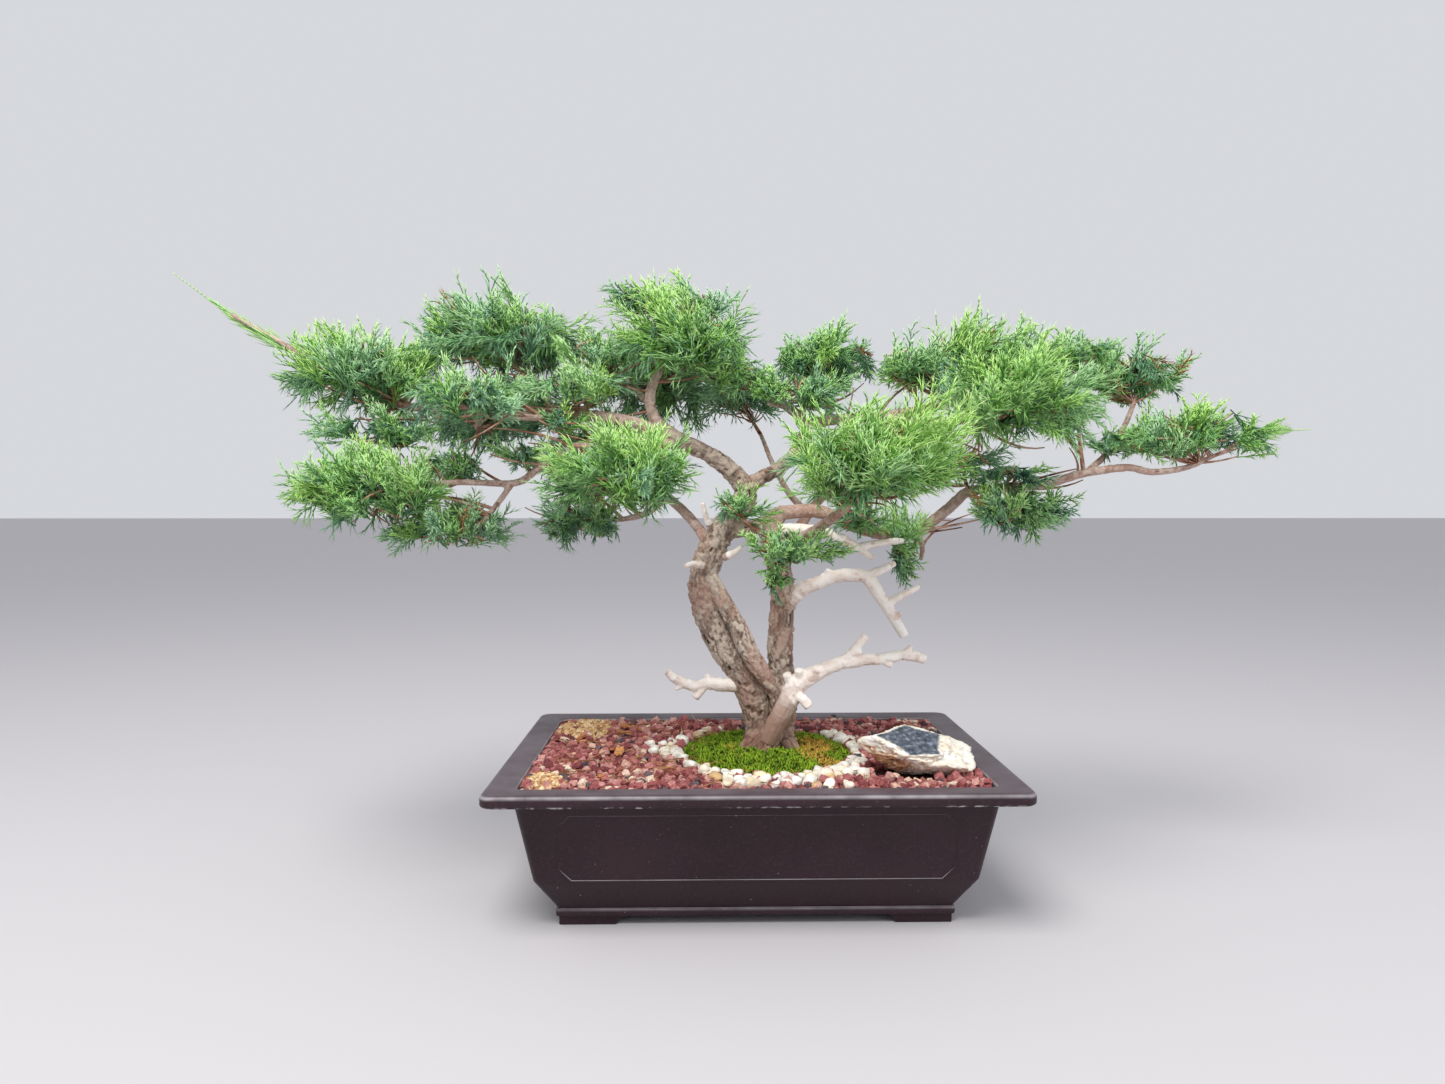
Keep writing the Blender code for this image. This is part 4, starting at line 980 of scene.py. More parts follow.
def make_lava(rng):
    """Loose red lava stones, laid close over the whole bed, some on top of the others."""
    pitch = LAVA_PITCH
    low, high = GRAVEL_LOW + LAVA_MARGIN, GRAVEL_HIGH - LAVA_MARGIN
    spots = []
    for x in np.arange(low[0], high[0], pitch):
        for y in np.arange(low[1], high[1], pitch):
            spots.append((x, y, 0.0))
    extra = rng.uniform(low[:2], high[:2], (LAVA_ON_TOP, 2))
    spots += [(x, y, LAVA_ON_TOP_LIFT) for x, y in extra]
    spots = np.array(spots)
    spots[:, :2] += rng.normal(0, pitch * 0.24, (len(spots), 2))
    spots[:, :2] = np.clip(spots[:, :2], low[:2], high[:2])
    keep = [not in_moss(x, y, -0.001) and not under_stone(x, y, -0.004) for x, y, _ in spots]
    spots = spots[keep]
    size = rng.uniform(*LAVA_SIZES, (len(spots), 1)) * rng.uniform(0.78, 1.12, (len(spots), 3))
    heave = bumps(spots[:, :2], 28, 0.3)
    spots[:, 2] += GRAVEL_TOP + 0.0006 + 0.0016 * heave
    shapes = [chip_shape(seed, 1, 0.45, 0.20) for seed in range(7)]
    tones = rng.uniform(0, 1, len(spots))
    stops = [(0.0, (0.075, 0.062, 0.074)), (0.05, (0.160, 0.125, 0.140)),
             (0.08, (0.190, 0.048, 0.052)), (0.32, (0.370, 0.105, 0.108)),
             (0.62, (0.540, 0.210, 0.200)), (0.84, (0.680, 0.370, 0.330)),
             (0.92, (0.780, 0.520, 0.400)), (1.0, (0.920, 0.800, 0.640))]
    look = stone_chip_material("lava_stone", stops, 420.0, 0.9, 0.8)
    scatter_chips("lava_stones", shapes, spots, size, random_turns(len(spots), rng),
                  tones, look)


def make_pebbles(rng):
    """Cream-white pebbles: a wide ragged band before the moss, a few clusters round it."""
    spots = []
    for _ in range(PEBBLE_TRIES):
        angle = rng.uniform(-180, 180)
        front = math.exp(-((angle + 76) / 52) ** 4)
        left = math.exp(-((abs(angle) - 180) / 15) ** 2)
        back_left = 0.35 * math.exp(-((angle - 130) / 9) ** 2)
        right = math.exp(-((angle - 20) / 17) ** 2)
        ragged = noise.noise(Vector((math.cos(math.radians(angle)) * 3.2,
                                     math.sin(math.radians(angle)) * 3.2, 5.0)))
        width = 0.003 + 0.036 * front + 0.034 * left + 0.020 * back_left + 0.016 * right
        width *= 1 + 0.8 * ragged
        reach = rng.uniform(0.0005, max(width, 0.002))
        share = 0.70 * front + 0.34 * left + back_left + 0.80 * right - 0.02
        share *= 1 - 0.60 * reach / max(width, 0.002)
        if rng.uniform() > share:
            continue
        turn = math.radians(angle)
        x = MOSS_CENTRE[0] + (MOSS_HALF[0] + reach) * math.cos(turn)
        y = MOSS_CENTRE[1] + (MOSS_HALF[1] + reach) * math.sin(turn)
        if y < GRAVEL_LOW[1] + 0.0055 or under_stone(x, y, 0.003):
            continue
        if spots and min(math.hypot(x - px, y - py) for px, py, _ in spots) < PEBBLE_SPACING:
            continue
        spots.append((x, y, GRAVEL_TOP + 0.0046))
    spots = np.array(spots)
    count = len(spots)
    stretch = (0.85, 0.8, 0.6), (1.2, 1.0, 0.8)
    size = rng.uniform(*PEBBLE_SIZES, (count, 1)) * rng.uniform(*stretch, (count, 3))
    shapes = [chip_shape(seed + 20, 3, 0.72, 0.10) for seed in range(6)]
    stops = [(0.0, (0.72, 0.48, 0.24)), (0.12, (0.88, 0.74, 0.50)), (0.4, (0.95, 0.90, 0.78)),
             (1.0, (0.97, 0.96, 0.91))]
    look = stone_chip_material("cream_pebble", stops, 140.0, 0.55, 0.25)
    piece = scatter_chips("cream_pebbles", shapes, spots, size,
                          random_turns(count, rng, 0.12), rng.uniform(0, 1, count),
                          look, smooth=True)
    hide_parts("white_pebbles")


def make_granules(rng):
    """Tan grit and husks in the left corners."""
    for node, count in GRIT_COUNTS.items():
        low = ends(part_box(node))[0]
        middle, half = centre_and_half(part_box(node))
        half = half * np.array((1.12, 1.08, 1.0))
        turn = rng.uniform(0, math.tau, count)
        reach = np.sqrt(rng.uniform(0, 1, count))
        spots = np.stack([middle[0] + half[0] * reach * np.cos(turn),
                          middle[1] + half[1] * reach * np.sin(turn),
                          low[2] + 0.0016 + (1 - reach ** 2) * half[2] * 1.1
                          + rng.uniform(0, 0.0015, count)], axis=1)
        spots[:, :2] = np.clip(spots[:, :2], GRAVEL_LOW[:2] + 0.002, GRAVEL_HIGH[:2] - 0.002)
        size = rng.uniform(*GRIT_SIZES, (count, 1)) * rng.uniform(0.6, 1.2, (count, 3))
        shapes = [chip_shape(seed + 40, 1, 0.4, 0.2) for seed in range(4)]
        stops = [(0.0, (0.42, 0.20, 0.09)), (0.5, (0.78, 0.50, 0.25)), (1.0, (0.95, 0.80, 0.50))]
        look = stone_chip_material(node + "_look", stops, 420.0, 0.85, 0.5)
        piece = scatter_chips(node.replace("granules", "grit"), shapes, spots, size,
                              random_turns(count, rng), rng.uniform(0, 1, count), look)
        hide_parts(node)


# ---------------------------------------------------------------- strands

def strand_template(middle_ring):
    """A closed three-sided taper one unit long, with or without a ring part way up."""
    bm = bmesh.new()
    if middle_ring:
        bmesh.ops.create_cone(bm, cap_ends=True, segments=3, radius1=1.0, radius2=0.8, depth=0.6)
        bmesh.ops.translate(bm, vec=(0, 0, 0.3), verts=bm.verts)
        top = max(bm.faces, key=lambda face: face.calc_center_median().z)
        bmesh.ops.poke(bm, faces=[top], offset=0.4)
    else:
        bmesh.ops.create_cone(bm, cap_ends=True, segments=3, radius1=1.25, radius2=0.0, depth=1.0)
        bmesh.ops.translate(bm, vec=(0, 0, 0.5), verts=bm.verts)
    co, faces = coordinates_and_faces(bm)
    turn = np.round(np.arctan2(co[:, 1], co[:, 0]) / (math.tau / 3)) % 3
    return co, faces, turn


THREAD = strand_template(True)
NEEDLE = strand_template(False)


class Strands:
    """Many tapered strands gathered into one mesh: bent threads and short straight needles."""

    def __init__(self):
        self.batches = {"thread": [], "needle": []}

    def add(self, start, reach, bend, radius, shade_low, shade_high, tint, kind="thread"):
        """Strands go from start along reach, and leave that line by bend at their tips.

        Each runs from one shade to the other, and takes its own tint.
        """
        count = len(start)
        self.batches[kind].append((
            start, reach, np.broadcast_to(bend, (count, 3)), np.broadcast_to(radius, count),
            np.broadcast_to(shade_low, count), np.broadcast_to(shade_high, count),
            np.broadcast_to(tint, count)))

    def laid_out(self, kind, template):
        """The places, faces and map of every strand of one kind."""
        shape, shape_faces, turn = template
        start, reach, bend, radius, low, high, tint = (
            np.concatenate([batch[i] for batch in self.batches[kind]]) for i in range(7))
        t = shape[:, 2][None, :, None]
        side, other = across(unit(reach + bend * 0.5))
        ring = (shape[:, 0][None, :, None] * side[:, None]
                + shape[:, 1][None, :, None] * other[:, None])
        co = (start[:, None] + reach[:, None] * t + bend[:, None] * t * t
              + ring * radius[:, None, None])
        faces = shape_faces[None] + np.arange(len(start))[:, None, None] * len(shape)
        u = low[:, None] + (high - low)[:, None] * shape[:, 2][None]
        u = np.clip(u, 0.004, 0.99) + 0.004 * (turn == 1)[None]
        v = tint[:, None] + 0.003 * turn[None]
        return co.reshape(-1, 3), faces.reshape(-1, 3), u.ravel(), v.ravel()

    def build(self, name, material):
        parts = [self.laid_out(kind, template)
                 for kind, template in (("thread", THREAD), ("needle", NEEDLE))
                 if self.batches[kind]]
        shift = 0
        for i, (co, faces, u, v) in enumerate(parts):
            parts[i] = (co, faces + shift, u, v)
            shift += len(co)
        co, faces, u, v = (np.concatenate([part[i] for part in parts]) for i in range(4))
        mesh = bpy.data.meshes.new(name)
        mesh.from_pydata(co, [], faces)
        corners = np.empty(len(mesh.loops), np.int32)
        mesh.loops.foreach_get("vertex_index", corners)
        uv = np.stack([u[corners], v[corners]], axis=1).astype(np.float32)
        mesh.uv_layers.new(name=LEAF_MAP).data.foreach_set("uv", uv.ravel())
        return new_piece(mesh, name, material)


# ---------------------------------------------------------------- moss and litter

def moss_height(x, y):
    """The mound's surface over a place, with soft hummocks."""
    reach = math.hypot((x - MOSS_CENTRE[0]) / MOSS_HALF[0], (y - MOSS_CENTRE[1]) / MOSS_HALF[1])
    dome = max(0.0, 1 - reach ** 2.4)
    hummock = noise.noise(Vector((x * 60, y * 60, 1.7))) * 0.0016
    return GRAVEL_TOP + 0.0008 + dome * (MOSS_HIGH[2] - GRAVEL_TOP - 0.0035) + hummock * dome


def make_moss_bed():
    """The flat disc under the tufts, with a skirt down into the gravel and a base."""
    bm = bmesh.new()
    bmesh.ops.create_circle(bm, cap_ends=True, segments=72, radius=1.0)
    grown = bmesh.ops.extrude_edge_only(bm, edges=bm.edges[:])
    skirt = {vert for vert in grown["geom"] if isinstance(vert, bmesh.types.BMVert)}
    for vert in bm.verts:
        x = MOSS_CENTRE[0] + vert.co.x * MOSS_HALF[0]
        y = MOSS_CENTRE[1] + vert.co.y * MOSS_HALF[1]
        vert.co = (x, y, GRAVEL_TOP - 0.004 if vert in skirt else moss_height(x, y))
    bmesh.ops.holes_fill(bm, edges=[e for e in bm.edges if e.is_boundary], sides=0)
    bmesh.ops.recalc_face_normals(bm, faces=bm.faces[:])
    bed = new_piece(mesh_from_bmesh(bm, "moss_bed"), "moss_bed", moss_bed_material())
    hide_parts("moss_mound")


def make_moss_tufts(rng):
    """Short upright tufts all over the mound, orange-brown in a patch at its front right."""
    count = MOSS_TUFTS
    turn = rng.uniform(0, math.tau, count)
    reach = np.sqrt(rng.uniform(0, 1, count)) * 1.03
    x = MOSS_CENTRE[0] + MOSS_HALF[0] * reach * np.cos(turn)
    y = MOSS_CENTRE[1] + MOSS_HALF[1] * reach * np.sin(turn)
    clump = bumps(zip(x, y), 130, 4.0)
    patch = bumps(zip(x, y), 26, 9.0)
    front_right = np.clip((x - MOSS_CENTRE[0]) / MOSS_HALF[0] * 0.5
                          - (y - MOSS_CENTRE[1]) / MOSS_HALF[1] * 0.55, -1, 1)
    z = np.array([moss_height(a, b) for a, b in zip(x, y)]) - 0.0006
    start = np.stack([x, y, z], axis=1)
    lean = rng.normal(0, 0.45, (count, 3))
    lean[:, 2] = 1.0
    length = rng.uniform(*MOSS_TUFT_LENGTHS, count) * (1 + 0.5 * clump)
    orange = (patch + 0.55 * front_right + rng.normal(0, 0.12, count)) > 0.42
    tint = np.where(orange, rng.uniform(0.72, 0.95, count), rng.uniform(0.05, 0.62, count))
    shade = np.clip(0.55 + 0.7 * clump, 0.25, 1)
    strands = Strands()
    strands.add(start, unit(lean) * length[:, None], rng.normal(0, 0.0006, (count, 3)),
                rng.uniform(0.00065, 0.00110, count), 0.1 * shade, 0.95 * shade, tint)
    stops = [(0.0, (0.100, 0.220, 0.010)), (0.3, (0.220, 0.390, 0.016)),
             (0.62, (0.430, 0.600, 0.040)), (0.70, (0.600, 0.480, 0.060)),
             (0.85, (0.760, 0.440, 0.080)), (1.0, (0.880, 0.560, 0.140))]
    strands.build("moss_tufts", strand_material("moss_tuft", stops, 0.8))


def litter_field():
    """The low and high corners of the part of the gravel where litter lies."""
    return GRAVEL_LOW[:2] + LITTER_MARGIN, GRAVEL_HIGH[:2] - LITTER_MARGIN


def make_dead_needles(rng):
    """Dead needles lying on the stones, most of them at the left."""
    count = DEAD_NEEDLES
    low, high = litter_field()
    spot = np.empty((count, 3))
    spot[:, :2] = rng.uniform(low, high, (count, 2))
    leftward = count * 2 // 3
    spot[:leftward, 0] = low[0] + (high[0] - low[0]) * rng.uniform(0, 0.45, leftward)
    spot[:, 2] = GRAVEL_TOP + rng.uniform(0.0046, 0.0066, count)
    keep = [not in_moss(x, y, -0.012) and not under_stone(x, y, 0.008) for x, y, _ in spot]
    spot = spot[keep]
    count = len(spot)
    turn = rng.uniform(0, math.tau, count)
    length = rng.uniform(*DEAD_NEEDLE_LENGTHS, count)
    reach = np.stack([np.cos(turn), np.sin(turn), rng.normal(0, 0.05, count)], axis=1)
    reach *= length[:, None]
    spot[:, :2] = np.clip(spot[:, :2], low + 0.004, high - 0.004)
    bend = rng.normal(0, 0.0045, (count, 3)) * (1.0, 1.0, 0.15)
    strands = Strands()
    strands.add(spot, reach, bend, rng.uniform(0.00035, 0.0006, count), 0.5, 0.95,
                rng.uniform(0.02, 0.95, count))
    stops = [(0.0, (0.28, 0.10, 0.035)), (0.5, (0.50, 0.22, 0.07)), (1.0, (0.66, 0.42, 0.18))]
    strands.build("dead_needles", strand_material("dead_needle", stops, 0.7))


def make_bark_chips(rng):
    """A few flat chips of brown bark on the gravel left of the moss."""
    chips = BARK_CHIPS
    low, high = litter_field()
    spots = np.stack([rng.uniform(low[0] + 0.006, MOSS_LOW[0] - 0.022, chips),
                      rng.uniform(low[1] + 0.010, high[1] - 0.010, chips),
                      np.full(chips, GRAVEL_TOP + 0.0066)], axis=1)
    size = rng.uniform(0.7, 1.2, (chips, 1)) * BARK_CHIP_SIZE
    shapes = [chip_shape(seed + 60, 2, 0.25, 0.22) for seed in range(3)]
    stops = [(0.0, (0.46, 0.16, 0.05)), (1.0, (0.74, 0.34, 0.13))]
    look = stone_chip_material("bark_chip", stops, 300.0, 0.8, 0.5)
    scatter_chips("bark_chips", shapes, spots, size, random_turns(chips, rng, 0.05),
                  rng.uniform(0, 1, chips), look)


# ---------------------------------------------------------------- craggy stone

def make_stone():
    """A broken block: flat breaks in many directions, chipped edges, hollows low at its left."""
    bm = bmesh.new()
    bmesh.ops.create_icosphere(bm, subdivisions=6, radius=1.0)
    d = np.array([vert.co for vert in bm.verts])
    rng = np.random.default_rng(31)
    shift = np.array([noise.noise_vector(vert.co * 3.1) for vert in bm.verts]) * 0.07
    faces = unit(rng.normal(0, 1, (20, 3)))
    depths = rng.uniform(0.62, 0.92, 20)
    slate_face = unit(np.array(((0.22, -0.58, 0.79),)))
    faces = np.concatenate([slate_face, faces])
    depths = np.concatenate([(0.63,), depths])
    cut = depths / np.maximum((d + shift) @ faces.T, 0.05)
    nearest = np.sort(cut, axis=1)
    swell = np.minimum(nearest[:, 0], 1.25)
    edge = np.clip((nearest[:, 1] - nearest[:, 0]) / 0.10, 0, 1)
    patch = np.clip((np.min(cut[:, 1:], axis=1) - cut[:, 0]) / 0.03, 0, 1)
    left = np.clip((-d[:, 0] - 0.05) * 1.5, 0, 1) * np.clip(0.55 - d[:, 2], 0, 1)
    hollow, crumb, crack = np.empty(len(d)), np.empty(len(d)), np.empty(len(d))
    for i, vert in enumerate(bm.verts):
        gaps, _ = noise.voronoi(vert.co * 5.2 + Vector((0.3, 2.0, 6.1)))
        hollow[i] = max(0.0, 0.40 - gaps[0])
        crumb[i] = noise.fractal(vert.co * 8.0, 0.8, 2.0, 5)
        gaps, _ = noise.voronoi(vert.co * 2.6 + noise.noise_vector(vert.co * 5.0) * 0.16)
        crack[i] = max(0.0, 1 - (gaps[1] - gaps[0]) / 0.07)
    swell += (edge - 0.6) * 0.02 + crumb * np.where(patch > 0.5, 0.022, 0.044)
    swell -= left * hollow * 1.0 + crack * 0.035 * (1 - patch)
    spots = d * swell[:, None]
    low, high = spots.min(0), spots.max(0)
    share = (spots - low) / (high - low) * 2 - 1
    spots = STONE_CENTRE + share * STONE_HALF * (1.04, 1.04, 1.0)
    for vert, spot in zip(bm.verts, spots):
        vert.co = spot
    mesh = mesh_from_bmesh(bm, "craggy_stone")
    rust = np.clip(left * (1.2 + 3.0 * hollow) + 0.30 * crumb + 0.3 * crack - 0.14, 0, 1)
    rust *= 1 - patch
    # Painted shade: deep in the hollows at the left end and along the cracks, off the slate face,
    # the stone is painted near black.
    dark = np.clip(left * hollow * 6.5 - 0.25 + crack * 0.45, 0, 1) * (1 - patch)
    for label, values in (("slate", patch), ("rust", rust), ("hollow", dark)):
        set_attribute(mesh, label, values)
    piece = new_piece(mesh, "craggy_stone", craggy_stone_material())
    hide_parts("stone")


# ---------------------------------------------------------------- wood

def limb_tubes(limbs, name):
    """One mesh of closed tapered tubes, and the limbs' places, headings, radii and shares.

    A share is how far out a place is: along its own limb, from where that leaves the first one.
    """
    curve = new_curve(name, 1.0, 4)
    places, headings, sizes, shares = [], [], [], []
    for index, points in enumerate(limbs):
        route, radii = smooth_route(points, 0.004)
        add_spline(curve, route, radii)
        places.append(route)
        headings.append(unit(np.gradient(route, axis=0)))
        sizes.append(radii)
        share = np.linspace(0, 1, len(route))
        if index:
            joint = int(np.argmin(np.linalg.norm(places[0] - route[0], axis=1)))
            share = shares[0][joint] + share * 0.5
        shares.append(share)
    mesh = settled_mesh(link_new(name, curve))
    bm = bmesh.new()
    bm.from_mesh(mesh)
    bmesh.ops.remove_doubles(bm, verts=bm.verts, dist=0.00001)
    bm.to_mesh(mesh)
    bm.free()
    return mesh, [np.concatenate(part) for part in (places, headings, sizes, shares)]


def one_skin(mesh, voxel, smoothing):
    """The tubes melted into one closed skin."""
    holder = link_new("skin", mesh)
    melt = holder.modifiers.new("melt", "REMESH")
    melt.mode = "VOXEL"
    melt.voxel_size = voxel
    calm = holder.modifiers.new("calm", "SMOOTH")
    calm.factor = 0.5
    calm.iterations = smoothing
    return settled_mesh(holder)


def grow_grain(skin, limbs, depth, strip_scale, plates, waves, fade):
    """Bark or weathered grain that runs along each limb, as real relief on the skin.

    The relief, the brown wood near the root and a broad tint are kept for the materials.
    """
    places, headings, sizes, shares = limbs
    tree = KDTree(len(places))
    for i, spot in enumerate(places):
        tree.insert(spot, i)
    tree.balance()
    co = per_vertex(skin, "co").astype(float)
    normals = per_vertex(skin, "normal")
    relief = np.empty(len(co), np.float32)
    root = np.empty(len(co), np.float32)
    tint = np.empty(len(co), np.float32)
    shift = np.empty(len(co))
    for i, spot in enumerate(co):
        _, nearest, _ = tree.find(spot)
        axis = headings[nearest]
        along = axis * float(axis @ spot)
        fibre = Vector(spot - along * 0.86)
        broad = noise.noise(fibre * (strip_scale * 0.30))
        strip = 1.0 - 2.0 * abs(noise.noise(fibre * strip_scale))
        fine = noise.noise(fibre * (strip_scale * 2.9))
        level = waves * broad + 0.30 * strip + 0.20 * fine
        tint[i] = 0.5 + 0.8 * noise.noise(Vector(spot) * 26 + Vector((3.0, 1.0, 7.0)))
        if plates:
            ragged = noise.noise_vector(Vector(spot) * (strip_scale * 1.3)) * 0.16
            drawn_out = Vector(spot - along * 0.76) * (strip_scale * 0.62)
            gaps, cells = noise.voronoi(drawn_out + ragged)
            crack = min((gaps[1] - gaps[0]) / 0.20, 1.0)
            lift = noise.noise(cells[0] * 7.3)
            level = level * 0.75 + plates * (crack * (0.62 + 0.9 * lift) - 0.36)
            tint[i] += 0.5 * noise.noise(cells[0] * 3.7 + Vector((9.0, 2.0, 4.0)))
        shift[i] = min(depth, sizes[nearest] * 0.24) * level
        relief[i] = 0.5 + 0.5 * level
        reach = shares[nearest] + 0.05 * noise.noise(fibre * 90)
        bare = min(1.0, max(0.0, (fade[1] - reach) / (fade[1] - fade[0])))
        root[i] = bare * bare * (3 - 2 * bare)
    co += normals * shift[:, None]
    skin.vertices.foreach_set("co", co.astype(np.float32).ravel())
    for label, values in (("relief", relief), ("root", root), ("tint", tint)):
        set_attribute(skin, label, values)


def make_wood(name, node, limbs, material, voxel, grain):
    """One piece of the tree's wood, in place of a node where there is one."""
    mesh, routes = limb_tubes(limbs, name)
    skin = one_skin(mesh, voxel, 2)
    grow_grain(skin, routes, **grain)
    piece = new_piece(skin, name, material)
    if node:
        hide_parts(node)


# ---------------------------------------------------------------- foliage

def add_spray(strands, base, heading, length, tone, light, rng):
    """Feathery sprays: each has a bent stem with long straight side threads that fork."""
    count = len(base)
    side, other = across(heading)
    roll = rng.uniform(0, math.tau, count)[:, None]
    flat = side * np.cos(roll) + other * np.sin(roll)
    stem = heading * length[:, None]
    bend = (UP * 0.12 + flat * rng.normal(0, 0.12, (count, 1))) * length[:, None]

    def on_stem(t):
        return base + stem * t + bend * t * t

    middle = on_stem(0.5)
    strands.add(base, middle - base, bend * 0.02, SPRAY_STEM_RADII[0],
                light - 0.10, light + 0.08, tone)
    strands.add(middle - stem * 0.02, on_stem(1.0) - middle, bend * 0.08, SPRAY_STEM_RADII[1],
                light + 0.05, light + 0.36, tone)
    for k in range(SIDE_THREADS):
        t = 0.12 + 0.76 * (k + rng.uniform(0, 0.6)) / SIDE_THREADS
        hand = 1 if k % 2 else -1
        angle = np.radians(rng.normal(30, 7, (count, 1)))
        sway = rng.normal(0, 0.7, (count, 1))
        out = unit(flat * hand + np.cross(heading, flat) * sway)
        aim = unit(heading * np.cos(angle) + out * np.sin(angle))
        reach = length * (0.58 - 0.30 * t) * rng.uniform(0.65, 1.25, count)
        start = on_stem(t)
        sweep = (heading * 0.10 + UP * 0.05) * reach[:, None]
        glow = light + 0.14 * t
        strands.add(start, aim * reach[:, None], sweep, SIDE_THREAD_RADIUS,
                    glow - 0.10, glow + 0.34, tone)
        for s, twist in ((0.30, 1), (0.55, -1)):
            fork = unit(aim * 0.90 + np.cross(aim, np.cross(heading, out)) * 0.36 * twist
                        + rng.normal(0, 0.13, (count, 3)))
            small = reach * (0.62 - 0.30 * s) * rng.uniform(0.7, 1.25, count)
            spot = start + aim * (reach * s)[:, None] + sweep * s * s
            strands.add(spot, fork * small[:, None], 0.0, FORK_RADIUS,
                        glow - 0.02, glow + 0.40, tone, "needle")


def nearest_points(targets, cloud):
    """For each target, the place of the cloud that is nearest to it."""
    gap = np.linalg.norm(targets[:, None] - cloud[None], axis=2)
    return cloud[np.argmin(gap, axis=1)]


def add_stem(middle, branch_points, twig_limbs):
    """A stem from the nearest branch through the pad's middle; its points hold the twigs."""
    start = nearest_points(middle[None], branch_points)[0]
    end = middle + (middle - start) * 0.3
    run = float(np.linalg.norm(end - start))
    elbow = (start + end) / 2 + np.array((0, 0, -0.12 * run))
    line = bow(start, elbow, end, 14)
    twig_limbs.append((line, 0.0016 + 0.012 * run, 0.0011))
    return line[4:]


def find_hubs(middle, half, branch_points, twig_limbs):
    """The places inside a pad that hold its twigs: on its branch, or on a stem of its own."""
    hubs = branch_points[np.linalg.norm((branch_points - middle) / half, axis=1) < HUB_REACH]
    if len(hubs) < FEWEST_HUBS:
        hubs = np.concatenate([hubs, add_stem(middle, branch_points, twig_limbs)])
    return hubs


def clothe(strands, middle, half, tufts, tone, hubs, twig_limbs, each, rng):
    """Tufts of sprays on every side of a lumpy rounded space, each on its own twig."""
    # Each tuft's tip lies near the space's surface, and its root deeper in.
    aim = unit(rng.normal(0, 1, (tufts, 3)) * (1, 1, 0.9) + (0, -0.05, 0.20))
    depth = np.where(rng.uniform(size=tufts) < 0.74, rng.uniform(0.84, 1.16, tufts),
                     rng.uniform(0.40, 0.84, tufts))
    depth *= np.where(rng.uniform(size=tufts) < 0.10, 1.10, 1.0)
    depth *= 1 - 0.16 * np.clip(-aim[:, 2], 0, 1)
    seat = Vector(middle * 40)
    depth *= [1 + 0.34 * noise.noise(Vector(way) * 1.9 + seat) for way in aim]
    tip = middle + aim * half * depth[:, None]
    low, high = ends(cad_box)
    tip = np.clip(tip, low + INSIDE_CAD_BOX, high - INSIDE_CAD_BOX)
    outward = unit(aim / half)
    away = unit(tip * (1, 1, 0) + 1e-6)
    lift = np.clip(0.24 + 1.1 * aim[:, 2:], -0.50, 0.24)
    lead = unit(outward * 0.56 + UP * lift + away * 0.40 + rng.normal(0, 0.20, (tufts, 3)))
    lead[:, 2] = np.where(aim[:, 2] < -0.25, -np.abs(lead[:, 2]), lead[:, 2])
    size = rng.uniform(*TUFT_LENGTHS, tufts) * np.clip(half.min() / 0.042, 0.76, 1.1)
    root = tip - lead * size[:, None]
    outside = np.linalg.norm((root - middle) / half, axis=1) / ROOT_DEPTH
    root = middle + (root - middle) / np.maximum(outside, 1.0)[:, None]
    lead = unit(tip - root)
    size = np.clip(np.linalg.norm(tip - root, axis=1), SHORTEST_TUFT, size * 1.05)
    height = (tip[:, 2] - middle[2]) / half[2]
    # Painted light: tufts that end deeper in the pad or lower down are painted darker, and lower
    # ones bluer; the outer and upper tufts are painted lighter and yellower.
    glow = np.clip(0.10 + 0.36 * depth + 0.16 * height + rng.normal(0, 0.08, tufts), 0.06, 0.66)
    tint = np.clip(tone + 0.16 * height + rng.normal(0, 0.26, tufts), 0.10, 0.95)

    # A thin sagging twig joins each root to the stem or branch.
    hold = nearest_points(root - lead * 0.034, hubs)
    for a, b in zip(hold, root):
        run = float(np.linalg.norm(b - a))
        sag = a + (b - a) * 0.5 + np.array((0, 0, -0.10 * run)) + rng.normal(0, 0.07 * run, 3)
        twig_limbs.append((bow(a, sag, b, 8), 0.0008 + 0.009 * run, 0.00055))

    # Each tuft is a handful of sprays that spread round its own direction.
    owner = np.repeat(np.arange(tufts), each)
    count = len(owner)
    heading = unit(lead[owner] + rng.normal(0, 0.32, (count, 3)))
    length = size[owner] * rng.uniform(0.52, 0.98, count)
    base = root[owner] + lead[owner] * (size[owner] * rng.uniform(-0.10, 0.36, count))[:, None]
    light = np.clip(glow[owner] + rng.normal(0, 0.06, count), 0.02, 0.64)
    color = np.clip(tint[owner] + rng.normal(0, 0.07, count), 0.10, 0.95)
    color = np.where(rng.uniform(size=count) < 0.014, 0.012, color)
    add_spray(strands, base, heading, length, color, light, rng)


def make_pad(node, tone, branch_points, twig_limbs, rng, leaf):
    """One pad of foliage on the branch that runs through it, or on a stem of its own."""
    middle, half = centre_and_half(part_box(node))
    if node in PAD_SHAPES:
        centre, size = PAD_SHAPES[node]
        middle, half = place(centre), np.array(size) * MM
    skin = half[0] * half[1] + half[0] * half[2] + half[1] * half[2]
    hubs = find_hubs(middle, half, branch_points, twig_limbs)
    strands = Strands()
    tufts = int(FEWEST_TUFTS + TUFTS_PER_AREA * skin)
    clothe(strands, middle, half, tufts, tone, hubs, twig_limbs, SPRAYS_PER_TUFT, rng)
    if node in LEADERS:
        add_leader(strands, LEADERS[node], tone, rng)
    piece = strands.build(node.replace("foliage", "sprays"), leaf)
    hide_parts(node)


def make_between(name, spaces, branch_points, twig_limbs, rng, leaf):
    """Thin foliage along the branches, where one pad runs into the next."""
    strands = Strands()
    for centre, size, tufts in spaces:
        middle, half = place(centre), np.array(size) * MM
        hubs = find_hubs(middle, half, branch_points, twig_limbs)
        clothe(strands, middle, half, tufts, BETWEEN_TONE, hubs, twig_limbs,
               SPRAYS_PER_THIN_TUFT, rng)
    strands.build(name, leaf)


